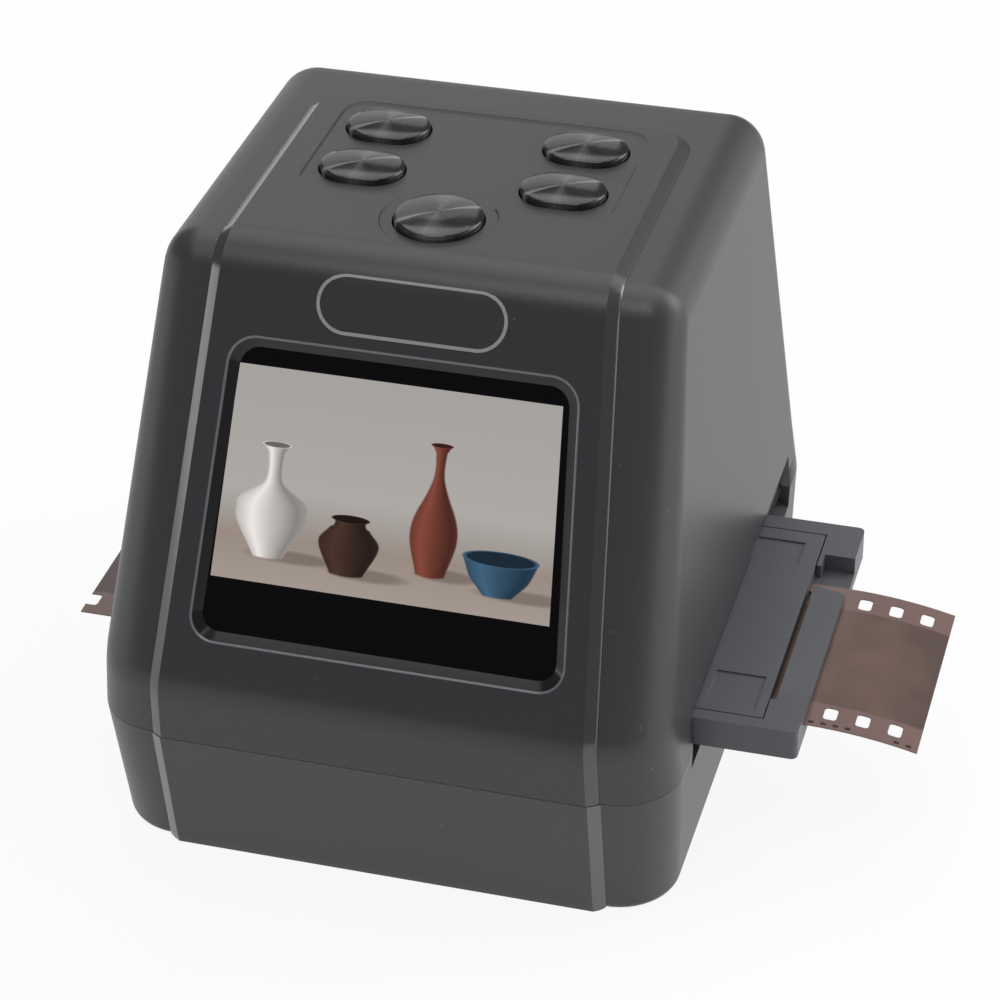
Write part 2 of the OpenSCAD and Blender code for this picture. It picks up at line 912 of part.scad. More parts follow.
module lens_holder() {
  color(dark)
    difference() {
      translate([0, film_y, lens_z + 0.02]) {
        cylinder(h = lens_h, r = 8);
        for (sx = [-1, 1])
          translate([sx * lens_ear_x, 0, 0])
            cylinder(h = lens_h, r = 1.9);
        translate([-lens_ear_x, -1.2, 0])
          cube([2 * lens_ear_x, 2.4, lens_h]);
      }
      translate([0, film_y, lens_z - 1])
        cylinder(h = lens_h + 3, r = lens_bore);
      for (sx = [-1, 1])
        translate([sx * lens_ear_x, film_y, lens_z - 1])
          cylinder(h = lens_h + 3, r = 0.7 + pilot_gap);
    }
}

module lens_barrel() {
  color(soot)
    difference() {
      translate([0, film_y, lens_z + 0.1])
        cylinder(h = lens_h - 2, r = lens_bore - 0.04);
      translate([0, film_y, lens_z - 1])
        cylinder(h = 3, r = 4);
      translate([0, film_y, lens_z + 1])
        cylinder(h = lens_h, r = 4.8);
    }
}

module lens_elements() {
  color([0.6, 0.75, 0.85])
    for (z = [1.2, 5])
      translate([0, film_y, lens_z + z])
        cylinder(h = 2, r = 4.76);
}

module sensor_board() {
  color(board_green)
    difference() {
      translate([-sensor_half, film_y - sensor_half, lens_z + lens_h + 0.05])
        cube([2 * sensor_half, 2 * sensor_half, sensor_board_t]);
      for (sx = [-1, 1])
        translate([sx * lens_ear_x, film_y, lens_z + lens_h - 1])
          cylinder(h = 4, r = 0.7 + 0.15);
    }
}

module image_sensor() {
  color([0.2, 0.2, 0.3])
    translate([-4.2, film_y - 3.4, lens_z + lens_h - 1.3])
      cube([8.4, 6.8, 1.3]);
}

// Height of the pin axis and its distance from the back of the tray
pin_r = 0.6;
pin_z = tray_z + 3.4;
pin_y = tray_rear - 2.6;
knuckle_r = 1.3;
knuckle_l = 6;
knuckle_x = [-24, 26];
lid_front = tray_front + 2.4;
lid_rear = tray_rear - 3.4;
lid_left = tray_left + 1.4;
lid_right = tray_right - 5.6;
bridge_gap = 1;
lid_t = 1.9;
module film_channel(extra) {
  translate([tray_left - 1, film_y - film_w / 2 - extra, film_z - extra])
    cube([tray_right - tray_left + 2, film_w + 2 * extra, film_t + 2 * extra]);
}

module tray_base() {
  color(dark)
    difference() {
      translate([tray_left, tray_front, tray_z])
        cube([tray_right - tray_left, tray_w, tray_t]);
      // bed of the lid
      translate([lid_left - 0.2, lid_front - 0.2, tray_top - lid_t - 0.1])
        cube([lid_right - lid_left + 0.4, lid_rear - lid_front + 0.4, 5]);
      film_channel(0.3);
      // picture window, wider on the underside
      translate([-frame_w / 2, film_y - frame_d / 2, tray_z - 1])
        cube([frame_w, frame_d, tray_t + 2]);
      // gap between the lid and the bridge over the film, and the bridge's sloping top
      translate([lid_right - 0.1, film_y - film_w / 2 + 2, film_z])
        cube([bridge_gap + 0.1, film_w, 5]);
      translate([0, film_y + film_w / 2, 0])
        rotate([90, 0, 0])
          linear_extrude(film_w - 4)
            polygon([
              [lid_right + bridge_gap, tray_top], [tray_right + 1, tray_top - 1],
              [tray_right + 1, tray_top + 1], [lid_right + bridge_gap, tray_top + 1]
            ]);
      // notch at the back of the film's way out
      translate([lid_right + bridge_gap - 0.1, film_y + film_w / 2 - 3.4, film_z - 0.6])
        cube([10, 8.6, 5]);
      // groove for the detent, with the stop notch in its middle
      translate([tray_left - 1, tray_rear - 0.7, gate_top + 1.1])
        cube([tray_right - tray_left - 6, 5, 2.4]);
      translate([0, tray_rear + 0.3, tray_z - 1])
        cylinder(h = 8, r = 1.6);
      // pockets and pin holes of the hinge
      for (x = knuckle_x) {
        translate([x - knuckle_l / 2 - 0.2, pin_y - knuckle_r - 0.15, pin_z - knuckle_r - 0.15])
          cube([knuckle_l + 0.4, 2 * knuckle_r + 0.3, 5]);
        translate([x - 6, pin_y, pin_z])
          rotate([0, 90, 0])
            cylinder(h = 12, r = pin_r + 0.04);
      }
    }
}

module tray_lid() {
  pad_l = 7.4;
  pad_deep = 0.3;
  color(dark)
    difference() {
      union() {
        translate([lid_left, lid_front, tray_top - lid_t])
          cube([lid_right - lid_left, lid_rear - lid_front, lid_t]);
        for (x = knuckle_x)
          translate([x - knuckle_l / 2, 0, 0]) {
            translate([0, pin_y, pin_z])
              rotate([0, 90, 0])
                cylinder(h = knuckle_l, r = knuckle_r);
            translate([0, lid_rear - 1, tray_top - lid_t])
              cube([knuckle_l, pin_y - lid_rear + 1, 1.5]);
          }
      }
      film_channel(0.3);
      translate([-frame_w / 2, film_y - frame_d / 2, tray_z])
        cube([frame_w, frame_d, 10]);
      for (x = knuckle_x)
        translate([x - 6, pin_y, pin_z])
          rotate([0, 90, 0])
            cylinder(h = 12, r = pin_r + 0.04);
      // two shallow panels near the right end
      translate([lid_right - 1.4 - pad_l, lid_front + 1.4, tray_top - pad_deep])
        cube([pad_l, 8.4, 1]);
      translate([lid_right - 2.6 - pad_l, lid_rear - 8.8, tray_top - pad_deep])
        cube([pad_l, 6, 1]);
    }
}

module lid_hinge_pins() {
  color(steel)
    for (x = knuckle_x)
      translate([x - 5.5, pin_y, pin_z])
        rotate([0, 90, 0])
          cylinder(h = 11, r = pin_r);
}

// The film lies flat up to the tray's end, then sags along an arc
film_bend_r = 70;
film_flat_end = tray_right - 0.5;
function film_drop(x) = x < film_flat_end ? 0
  : film_bend_r - sqrt(pow(film_bend_r, 2) - pow(x - film_flat_end, 2));
module film_strip() {
  steps = 12;
  sag = [for (i = [0:steps]) film_flat_end + i * (film_right - film_flat_end) / steps];
  upper = [for (x = sag) [x, film_z + film_t - film_drop(x)]];
  lower = [for (i = [steps:-1:0]) [sag[i], film_z - film_drop(sag[i])]];
  hole_w = 1.98;
  hole_l = 2.8;
  row_y = film_w / 2 - 2 - hole_l / 2;
  first = ceil((film_left + 1) / hole_pitch);
  last = floor((film_right - 1) / hole_pitch);
  color([0.5, 0.36, 0.3, 0.8])
    difference() {
      translate([0, film_y + film_w / 2, 0])
        rotate([90, 0, 0])
          linear_extrude(film_w)
            polygon(concat([[film_left, film_z + film_t]], upper, lower, [[film_left, film_z]]));
      for (i = [first:last], sy = [-1, 1])
        translate([i * hole_pitch - hole_w / 2, film_y + sy * row_y - hole_l / 2, film_z - 6])
          cube([hole_w, hole_l, 12]);
    }
}

// A flat cable: a strip of width w whose side view follows the points [y, z]
module flat_cable(x, w, pts) {
  t = 0.3;
  translate([x, 0, 0])
    rotate([90, 0, 90])
      linear_extrude(w)
        polygon(concat(pts, [for (i = [len(pts) - 1:-1:0]) [pts[i][0] - t, pts[i][1] - t]]));
}

// The three cables drop behind the shroud to their connectors on the main board
cable_foot = [main_front + 2.8, main_top + 1.4];
cable_turn = main_top + 6.4;
drop_y = main_front + 5.2;
cable_high = button_board_z - 4.3;
// Place [y, z] of a point that lies s up the front slope and d below its face
function under_slope(s, d) = [
  -waist_front + s * sin(front_lean) + d * cos(front_lean),
  waist_z + s * cos(front_lean) - d * sin(front_lean)
];

module display_ribbon() {
  start_s = panel_s + panel_y / 2 - 6;
  start_d = 6.7;
  color(flex_amber)
    flat_cable(ribbon_x[0], ribbon_w, [
      under_slope(start_s, start_d), under_slope(start_s + 3.5, start_d + 2.5),
      [film_y, cable_high], [drop_y - 9, cable_high], [drop_y, cable_high - 9],
      [drop_y, cable_turn], cable_foot
    ]);
}

module sensor_ribbon() {
  sensor_top = lens_z + lens_h + 1.6;
  color(flex_amber)
    flat_cable(ribbon_x[1], ribbon_w, [
      [film_y + 4, sensor_top], [film_y + 14, sensor_top], [drop_y, sensor_top - 14],
      [drop_y, cable_turn], cable_foot
    ]);
}

module button_ribbon() {
  color(flex_amber)
    flat_cable(ribbon_x[2], ribbon_w, [
      [14, button_board_z - 0.1], [drop_y - 5, button_board_z - 2], [drop_y, cable_high - 7],
      [drop_y, cable_turn], cable_foot
    ]);
}

module rubber_feet() {
  color([0.1, 0.1, 0.1])
    for (sx = [-1, 1], sy = [-1, 1])
      translate([sx * foot_x, sy * foot_y, base_z])
        cylinder(h = foot_t, r = foot_r);
}

// A pan-head screw standing on its head: head radius and height, shank radius and length
module screw(head_r, head_h, shank_r, shank_l) {
  difference() {
    cylinder(h = head_h, r = head_r);
    for (a = [0, 90])
      rotate(a)
        translate([-head_r * 0.6, -0.2, -1])
          cube([head_r * 1.2, 0.4, 1 + head_h / 2]);
  }
  translate([0, 0, head_h - 0.1])
    cylinder(h = shank_l + 0.1, r = shank_r);
}

module case_screws() {
  color(steel)
    for (p = case_places)
      translate([p[0], p[1], case_seat - case_head_h])
        screw(case_head_r, case_head_h, case_screw_r, case_screw_l);
}

module gate_screws() {
  color(steel) {
    for (p = gate_places)
      translate([p[0], p[1], gate_top - 0.4])
        mirror([0, 0, 1])
          screw(1.6, 1.2, small_screw_r, 8);
    for (p = shroud_places)
      translate([p[0], p[1], rail_top + shroud_t + 1.3])
        mirror([0, 0, 1])
          screw(1.5, 1.2, small_screw_r, 6);
  }
}

module board_screws() {
  color(steel) {
    for (p = main_post_places)
      translate([p[0], p[1], main_top + 1.25])
        mirror([0, 0, 1])
          screw(1.6, 1.2, small_screw_r, 4.6);
    for (p = board_post_places)
      translate([p[0], p[1], button_board_z - 1.25])
        screw(1.6, 1.2, small_screw_r, 5);
    for (sx = [-1, 1])
      translate([sx * lens_ear_x, film_y, lens_z + lens_h + 2.3])
        mirror([0, 0, 1])
          screw(1.3, 1, 0.7, 10.8);
  }
}

module display_screws() {
  color(steel)
    on_slope()
      for (p = display_places)
        translate([p[0], p[1], -7.4])
          screw(1.6, 1.15, small_screw_r, 3.8);
}

upper_shell();
front_cover();
lower_shell();
base_plate();
display_window();
display_panel();
display_frame();
button_power();
button_back();
button_ok();
button_next();
button_mode();
button_board();
tact_switches();
main_board();
board_chips();
usb_socket();
video_jack();
card_socket();
film_gate();
detent_spring();
light_box();
light_diffuser();
led_board();
backlight_leds();
light_shroud();
lens_holder();
lens_barrel();
lens_elements();
sensor_board();
image_sensor();
tray_base();
tray_lid();
lid_hinge_pins();
film_strip();
display_ribbon();
sensor_ribbon();
button_ribbon();
rubber_feet();
case_screws();
gate_screws();
board_screws();
display_screws();
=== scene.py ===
# %% [markdown]
# # A film scanner for the desk
# The scanner is a small box of dark plastic with a sloping display, five buttons on top and a
# film tray that slides in from the side. A CAD model already fixes its sizes and its moving
# parts. It is loaded first, because every new piece rides on one of its bodies and stays within
# its box.

import json
import math

import bpy
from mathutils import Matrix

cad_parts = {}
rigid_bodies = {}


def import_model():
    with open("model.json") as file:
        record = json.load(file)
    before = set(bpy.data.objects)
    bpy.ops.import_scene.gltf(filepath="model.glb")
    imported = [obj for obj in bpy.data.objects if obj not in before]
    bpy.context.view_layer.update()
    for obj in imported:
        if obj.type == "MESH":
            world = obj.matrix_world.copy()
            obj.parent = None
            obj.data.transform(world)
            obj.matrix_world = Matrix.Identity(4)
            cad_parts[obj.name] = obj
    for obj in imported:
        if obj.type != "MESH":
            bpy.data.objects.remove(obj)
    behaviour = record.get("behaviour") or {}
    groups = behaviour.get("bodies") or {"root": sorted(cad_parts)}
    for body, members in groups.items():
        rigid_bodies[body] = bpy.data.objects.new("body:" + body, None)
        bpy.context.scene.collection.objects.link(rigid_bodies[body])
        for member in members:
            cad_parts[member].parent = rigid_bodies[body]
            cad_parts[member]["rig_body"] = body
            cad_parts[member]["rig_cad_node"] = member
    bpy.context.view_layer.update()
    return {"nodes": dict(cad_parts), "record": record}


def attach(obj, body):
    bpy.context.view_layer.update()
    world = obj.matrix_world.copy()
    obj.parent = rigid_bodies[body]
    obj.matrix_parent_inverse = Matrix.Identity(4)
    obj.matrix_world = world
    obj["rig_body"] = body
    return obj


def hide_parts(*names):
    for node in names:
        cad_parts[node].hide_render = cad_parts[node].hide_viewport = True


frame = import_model()

# %% [markdown]
# Every piece begins as a plane whose corners are deleted, which leaves an empty mesh at the
# origin, open in edit mode. All later steps add to it in place, so its coordinates are those of
# the frame. Sizes are in millimetres.

# %% Begin and end a piece
MM = 0.001
TINY = 1e-6  # metres


def mode(name):
    bpy.ops.object.mode_set(mode=name)


def begin(name):
    bpy.ops.object.select_all(action="DESELECT")
    bpy.ops.mesh.primitive_plane_add(size=1)
    piece = bpy.context.object
    piece.name = name
    piece.data.name = name
    mode("EDIT")
    bpy.ops.mesh.select_all(action="SELECT")
    bpy.ops.mesh.delete(type="VERT")
    return piece


def end(piece):
    bpy.ops.mesh.select_all(action="SELECT")
    bpy.ops.mesh.normals_make_consistent(inside=False)
    mode("OBJECT")
    print(piece.name, len(piece.data.polygons), "faces")
    return piece


# %% [markdown]
# The casing narrows upwards on all sides. A tapered cube would do that too, but its corners could
# not grow rounder on the way down. So the form is told by outlines at rising heights, each a
# plane stretched to size with bevelled corners, and bridging them gives the skin.

# %% Outlines and the loft between them
CORNER_STEPS = 12


def round_corners(radius, steps):
    bpy.ops.mesh.bevel(affect="VERTICES", offset=radius * MM, segments=steps, profile=0.5)


def rounded_rectangle(middle, across, along, radius, steps):
    bpy.ops.mesh.select_all(action="DESELECT")
    bpy.ops.mesh.primitive_plane_add(size=1, location=[c * MM for c in middle])
    bpy.ops.transform.resize(value=(across * MM, along * MM, 1))
    round_corners(radius, steps)


def outline(half, front, rear, radius, height):
    middle = (0, (rear - front) / 2, height)
    rounded_rectangle(middle, 2 * half, front + rear, radius, CORNER_STEPS)
    bpy.ops.mesh.delete(type="ONLY_FACE")


def loft(name, outlines, draw=outline):
    piece = begin(name)
    for one in outlines:
        draw(*one)
    bpy.ops.mesh.select_all(action="SELECT")
    bpy.ops.mesh.bridge_edge_loops()
    bpy.ops.mesh.fill_holes(sides=0)
    return end(piece)


# %% [markdown]
# The body has a seam near the table, a soft bend in its front above that, and a front face that
# leans back to the top. Every side is straight between two heights, so three small functions tell
# where it is at any height.

# %% Form of the body
SEAM, WAIST, TOP = 22.6, 31.8, 90.0  # heights
HALF_SEAM, HALF_TOP = 43.5, 37.8
FRONT_SEAM, FRONT_WAIST, FRONT_TOP = 52.8, 53.3, 25.6  # distances from the middle
REAR_SEAM, REAR_TOP = 48.0, 33.8
TOP_R, CORNER_R, WAIST_R = 6.0, 9.3, 8.0


def mix(a, b, t):
    return a + (b - a) * t


def half_at(z):
    return mix(HALF_SEAM, HALF_TOP, (z - SEAM) / (TOP - SEAM))


def front_at(z):
    return mix(FRONT_WAIST, FRONT_TOP, (z - WAIST) / (TOP - WAIST))


def rear_at(z):
    return mix(REAR_SEAM, REAR_TOP, (z - SEAM) / (TOP - SEAM))


LEAN = math.atan((FRONT_WAIST - FRONT_TOP) / (TOP - WAIST))
SIDE_LEAN = math.atan((HALF_SEAM - HALF_TOP) / (TOP - SEAM))
REAR_LEAN = math.atan((REAR_SEAM - REAR_TOP) / (TOP - SEAM))
WAIST_DIP = -math.atan((FRONT_WAIST - FRONT_SEAM) / (WAIST - SEAM))
print("the front leans back by", round(math.degrees(LEAN), 1), "degrees")

# %% [markdown]
# Two arcs round the front, seen from the side: one at the bend and one at the top edge. They are
# worked out as points, because the casing and the cover on it follow the same curve.

# %% Arcs of the front
EDGE_Z = TOP - TOP_R
EDGE_FRONT = front_at(EDGE_Z) - TOP_R / math.cos(LEAN)
WAIST_STEPS, TOP_STEPS = 8, 12


def arc(centre_front, centre_z, radius, low, high, steps):
    turns = [mix(low, high, i / steps) for i in range(steps + 1)]
    return [
        (centre_front + radius * math.cos(t), centre_z + radius * math.sin(t)) for t in turns
    ]


half_turn = (LEAN - WAIST_DIP) / 2
middle_turn = (LEAN + WAIST_DIP) / 2
reach = WAIST_R / math.cos(half_turn)
waist_arc = arc(
    FRONT_WAIST - reach * math.cos(middle_turn), WAIST - reach * math.sin(middle_turn),
    WAIST_R, WAIST_DIP, LEAN, WAIST_STEPS
)
top_arc = arc(EDGE_FRONT, EDGE_Z, TOP_R, LEAN, math.pi / 2, TOP_STEPS)
print("front bend from", waist_arc[0], "to", waist_arc[-1])

# %% [markdown]
# Near the top every side follows its own quarter circle, because each leans by another angle. A
# bevel would be quicker, but would round all sides alike. The radius of the upright corners
# shrinks with height and runs out where the top turns flat.

# %% Outlines of the upper casing
CUT_START = 20.0
ABOVE_SEAM = 26.0
WAIST_SLOPE = 0.0543
LEAST_CORNER = 0.05
SEAM_GAP = 0.04
TOP_HEIGHTS = (
    45, 60, 74, 84, 84.5, 85.2, 85.9, 86.58, 87.2, 87.8, 88.3, 88.75, 89.1, 89.4, 89.65, 89.83,
    89.95, 90
)


def round_left(z):
    return math.sqrt(max(0, TOP_R ** 2 - (z - EDGE_Z) ** 2))


def rounded_over(plane, z, lean):
    if z <= EDGE_Z + TOP_R * math.sin(lean):
        return plane(z)
    return plane(EDGE_Z) - TOP_R / math.cos(lean) + round_left(z)


def upper_outline(z, front=None):
    if z <= EDGE_Z:
        corner = mix(CORNER_R, TOP_R, max(0, (z - WAIST) / (EDGE_Z - WAIST)))
    else:
        corner = max(LEAST_CORNER, round_left(z))
    half = rounded_over(half_at, z, SIDE_LEAN)
    rear = rounded_over(rear_at, z, REAR_LEAN)
    return (half, front or rounded_over(front_at, z, LEAN), rear, corner, z)


upper_outlines = [
    upper_outline(z, FRONT_SEAM + (z - SEAM) * WAIST_SLOPE)
    for z in (CUT_START, SEAM + SEAM_GAP, ABOVE_SEAM)
]
upper_outlines += [upper_outline(z, front) for front, z in waist_arc]
upper_outlines += [upper_outline(z) for z in TOP_HEIGHTS]
print(len(upper_outlines), "outlines")

# %% [markdown]
# The loft starts a little below the seam and is cut there, which leaves a clean edge. A solidify
# modifier turns the skin into a wall, open below, as an injection moulding is.

# %% Upper casing
WALL = 2.2


def activate(piece):
    bpy.ops.object.select_all(action="DESELECT")
    piece.select_set(True)
    bpy.context.view_layer.objects.active = piece


def edit_all(piece):
    activate(piece)
    mode("EDIT")
    bpy.ops.mesh.select_all(action="SELECT")


def apply_modifier(piece, kind, **settings):
    activate(piece)
    modifier = piece.modifiers.new(kind.title(), kind)
    for name, value in settings.items():
        setattr(modifier, name, value)
    bpy.ops.object.modifier_apply(modifier=modifier.name)


def cut_away(piece, height, direction, fill=False):
    edit_all(piece)
    bpy.ops.mesh.bisect(
        plane_co=(0, 0, height * MM), plane_no=(0, 0, direction), use_fill=fill,
        clear_outer=True, threshold=TINY
    )
    mode("OBJECT")


def thicken(piece):
    apply_modifier(piece, "SOLIDIFY", thickness=WALL * MM, offset=-1, use_even_offset=True)


upper = loft("Upper_casing", upper_outlines)
cut_away(upper, SEAM + SEAM_GAP, -1)
thicken(upper)

# %% [markdown]
# The centre cover runs from the seam over the bend, up the slope and back along the top. It is
# drawn like a polyline: an edge is pulled out from station to station and narrowed on the way.
# The sheet is then pushed in, thickened, and its outer face inset and raised twice. The first,
# steep step catches the light as a thin line, and the second makes the polished chamfer.

# %% Strip that follows the front of the body
STRIP_SEAM, STRIP_WAIST, STRIP_TOP = 33.7, 33.2, 29.4  # half widths
STRIP_CORNER_STEPS = 10
CHAMFER_STEPS = ((0.25, 0.3), (1.45, 0.85))  # how far inwards, how far up


def strip_half(z):
    if z <= SEAM:
        return STRIP_SEAM
    if z <= WAIST:
        return mix(STRIP_SEAM, STRIP_WAIST, (z - SEAM) / (WAIST - SEAM))
    return mix(STRIP_WAIST, STRIP_TOP, (z - WAIST) / (TOP - WAIST))


def draw_edge(middle, across=0, along=0):
    bpy.ops.mesh.primitive_plane_add(size=1, location=[c * MM for c in middle])
    bpy.ops.transform.resize(value=(across * MM, along * MM, 0))
    bpy.ops.mesh.remove_doubles(threshold=TINY)


def pull_edge(x, y, z):
    bpy.ops.mesh.extrude_edges_move(TRANSFORM_OT_translate={"value": (x * MM, y * MM, z * MM)})


def draw_sheet(path, grow, rear_r):
    front, z = path[0]
    draw_edge((0, -front, z), across=2 * (strip_half(z) + grow))
    for (old_front, old_z), (front, z) in zip(path, path[1:]):
        pull_edge(0, old_front - front, z - old_z)
        ratio = (strip_half(z) + grow) / (strip_half(old_z) + grow)
        bpy.ops.transform.resize(value=(ratio, 1, 1))
    if rear_r:
        round_corners(rear_r, STRIP_CORNER_STEPS)


def strip(name, path, low, high, grow=0, rear_r=0, raised=True):
    piece = begin(name)
    draw_sheet(path, grow, rear_r)
    mode("OBJECT")
    faces_back = piece.data.polygons[0].normal.y > 0
    mode("EDIT")
    bpy.ops.mesh.select_all(action="SELECT")
    if faces_back:
        bpy.ops.mesh.flip_normals()
    bpy.ops.transform.shrink_fatten(value=low * MM, use_even_offset=True)
    bpy.ops.mesh.extrude_region_shrink_fatten(
        TRANSFORM_OT_shrink_fatten={"value": (high - low) * MM, "use_even_offset": True}
    )
    if raised:
        for inwards, up in CHAMFER_STEPS:
            bpy.ops.mesh.inset(thickness=inwards * MM, depth=up * MM, use_even_offset=True)
    return end(piece)


# %% [markdown]
# A second strip, a hair wider and deeper, is subtracted from the casing as a seat for the cover.
# That keeps a real gap between the two, which shows as a fine dark line.

# %% Centre cover and its seat
RIM, COVER_DEPTH = 0.05, 1.0
COVER_START, COVER_END = (FRONT_SEAM - 0.3, 17.0), (-22.4, TOP)
COVER_REAR_R = 6
SEAT_GAP, SEAT_DEPTH, SEAT_HEIGHT = 0.03, 1.05, 4


def carve(piece, tool, operation="DIFFERENCE"):
    apply_modifier(piece, "BOOLEAN", object=tool, operation=operation, solver="EXACT")
    bpy.data.objects.remove(tool)


cover_path = [COVER_START] + waist_arc + top_arc + [COVER_END]
cover = strip("Centre_cover", cover_path, -COVER_DEPTH, RIM, rear_r=COVER_REAR_R)
cut_away(cover, SEAM + SEAM_GAP, -1, fill=True)
seat = strip(
    "seat", cover_path, -SEAT_DEPTH, SEAT_HEIGHT, grow=SEAT_GAP, rear_r=COVER_REAR_R, raised=False
)
carve(upper, seat)

# %% [markdown]
# The window sits in a bevelled opening. Its outline is a trapezium with rounded corners, wider at
# the bottom. Such outlines are drawn flat at several heights and bridged, which is easier than
# working on the slope.

# %% Outline of the window
SLOPE = math.pi / 2 - LEAN
WINDOW_LOW, WINDOW_HIGH = 7.5, 51.9  # measured up the slope, from the bend
WINDOW_HALF_LOW, WINDOW_HALF_HIGH = 27.8, 25.35
WINDOW_CORNER_STEPS = 8


def trapezium(inset, radius, height):
    low, high = WINDOW_HALF_LOW - inset, WINDOW_HALF_HIGH - inset
    bottom, top = WINDOW_LOW + inset, WINDOW_HIGH - inset
    bpy.ops.mesh.select_all(action="DESELECT")
    draw_edge((0, bottom, height), across=2 * low)
    pull_edge(0, top - bottom, 0)
    bpy.ops.transform.resize(value=(high / low, 1, 1))
    bpy.ops.mesh.select_all(action="DESELECT")
    mode("OBJECT")
    for v in bpy.context.object.data.vertices:
        v.select = abs(v.co.z - height * MM) < TINY
    mode("EDIT")
    round_corners(radius, WINDOW_CORNER_STEPS)
    bpy.ops.mesh.delete(type="ONLY_FACE")


# %% [markdown]
# The result is turned on to the slope and cuts the cover like a punch. Its mesh is turned, not
# the object, so that a piece made this way keeps an unturned origin.

# %% Punch that lies on the slope
def turn_and_move(piece, angle, axis, offset):
    edit_all(piece)
    if angle:
        bpy.ops.transform.rotate(
            value=angle, orient_axis=axis, center_override=(0, 0, 0), orient_type="GLOBAL"
        )
    bpy.ops.transform.translate(value=[c * MM for c in offset])
    mode("OBJECT")
    return piece


def to_slope(piece):
    return turn_and_move(piece, -SLOPE, "X", (0, -FRONT_WAIST, WAIST))


def punch(name, rings):
    return to_slope(loft(name, rings, trapezium))


# %% [markdown]
# One punch has the bevel and a small rounded rim, one widens the opening behind it as a seat for
# the pane, and one clears the casing. The window is a glossy black pane whose face has a small
# bevel, so that its edge catches the light.

# %% Window opening and pane
WINDOW_R, WINDOW_BEVEL = 4.0, 1.5
INNER_R = WINDOW_R - 1.2
UNDER, OVER = -3, 3
carve(cover, punch("window_hole", [
    (WINDOW_BEVEL, INNER_R, UNDER), (WINDOW_BEVEL, INNER_R, 0), (0.2, WINDOW_R - 0.2, 1.02),
    (0.02, WINDOW_R, 1.14), (-0.15, WINDOW_R + 0.15, 1.2), (-0.15, WINDOW_R + 0.15, OVER)
]))
carve(cover, punch("window_seat", [(-0.1, WINDOW_R, UNDER), (-0.1, WINDOW_R, 0)]))
carve(upper, punch("window_way", [(2.3, 2.5, -8), (2.3, 2.5, OVER)]))
window = punch("Window", [(0, 3.9, -0.95), (0, 3.9, -0.2), (0.15, 3.75, -0.05)])

# %% [markdown]
# Four buttons are flat bars with round ends and one is a disc. All start from a circle, whose
# right half is moved outwards for a bar.

# %% Outline of a button
ROUND_POINTS = 64


def pill_face(x, y, length, width, z, grow=0.0):
    left = (x - (length - width) / 2) * MM
    bpy.ops.mesh.primitive_circle_add(
        vertices=ROUND_POINTS, radius=(width / 2 + grow) * MM, fill_type="NGON",
        location=(left, y * MM, z * MM)
    )
    if length <= width:
        return
    bpy.ops.mesh.select_all(action="SELECT")
    bpy.ops.mesh.bisect(plane_co=(left, 0, 0), plane_no=(1, 0, 0))
    bpy.ops.mesh.select_all(action="DESELECT")
    mode("OBJECT")
    for v in bpy.context.object.data.vertices:
        v.select = v.co.x > left + TINY
    mode("EDIT")
    bpy.ops.transform.translate(value=((length - width) * MM, 0, 0))
    bpy.ops.mesh.select_all(action="SELECT")
    bpy.ops.mesh.dissolve_limited(angle_limit=0.001)
    bpy.ops.mesh.select_all(action="SELECT")


def pull_up(height):
    bpy.ops.mesh.extrude_region_move(TRANSFORM_OT_translate={"value": (0, 0, height * MM)})


# %% [markdown]
# A button has a flange that keeps it under the cover, a straight side and a low dome. For the
# dome, rings are inset and lifted by less and less, which gives a soft edge without a modifier.
# Each button rides on its own body, because each is pressed on its own.

# %% Buttons
COLUMN, BACK_ROW, FRONT_ROW, DISC_ROW = 15.1, 11.4, -1.8, -13.8
BAR, DISC = (12.6, 9.2), (12.9, 12.9)
FLANGE, FLANGE_Z, FLANGE_HEIGHT, SIDE_HEIGHT = 1.0, 86.3, 1.4, 3.95
DOME = (
    (0.08, 0.16), (0.14, 0.12), (0.22, 0.08), (0.7, 0.14), (0.9, 0.13), (1.1, 0.12), (0.9, 0.06)
)
buttons = {
    "button_power": (-COLUMN, BACK_ROW, *BAR), "button_back": (-COLUMN, FRONT_ROW, *BAR),
    "button_ok": (COLUMN, BACK_ROW, *BAR), "button_next": (COLUMN, FRONT_ROW, *BAR),
    "button_mode": (0.0, DISC_ROW, *DISC),
}


def make_button(name, x, y, length, width):
    piece = begin(name.title())
    pill_face(x, y, length, width, FLANGE_Z, FLANGE)
    pull_up(FLANGE_HEIGHT)
    bpy.ops.mesh.inset(thickness=FLANGE * MM)
    pull_up(SIDE_HEIGHT)
    for inwards, up in DOME:
        bpy.ops.mesh.inset(thickness=inwards * MM, use_even_offset=True)
        bpy.ops.transform.translate(value=(0, 0, up * MM))
    return end(piece)


for name, place in buttons.items():
    made = make_button(name, *place)
    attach(made, name)
    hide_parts(name)
    activate(made)
    bpy.ops.object.shade_smooth_by_angle(angle=math.radians(40))

# %% [markdown]
# Around the buttons the cover is let in by a hair, as a panel with a sloping edge, joined by a
# disc around the round button. Both are subtracted as one tool, which is easier than insetting a
# face that has holes.

# %% Panel around the buttons
PANEL_Z, PANEL_STEP, PANEL_CLEAR = 91.0, 0.15, 2
PANEL_Y, PANEL_SIZE, PANEL_R = 4.95, (46.4, 27.5), 4
HALO = 16.7


def widen_upwards(across, along):
    pull_up(PANEL_STEP)
    bpy.ops.transform.resize(value=(across, along, 1))
    pull_up(PANEL_CLEAR)


panel = begin("panel")
rounded_rectangle((0, PANEL_Y, PANEL_Z), *PANEL_SIZE, PANEL_R, 8)
widen_upwards(1.012, 1.02)
end(panel)
disc = begin("disc")
pill_face(0, DISC_ROW, HALO, HALO, PANEL_Z)
widen_upwards(1.03, 1.03)
carve(panel, end(disc), "UNION")
carve(cover, panel)

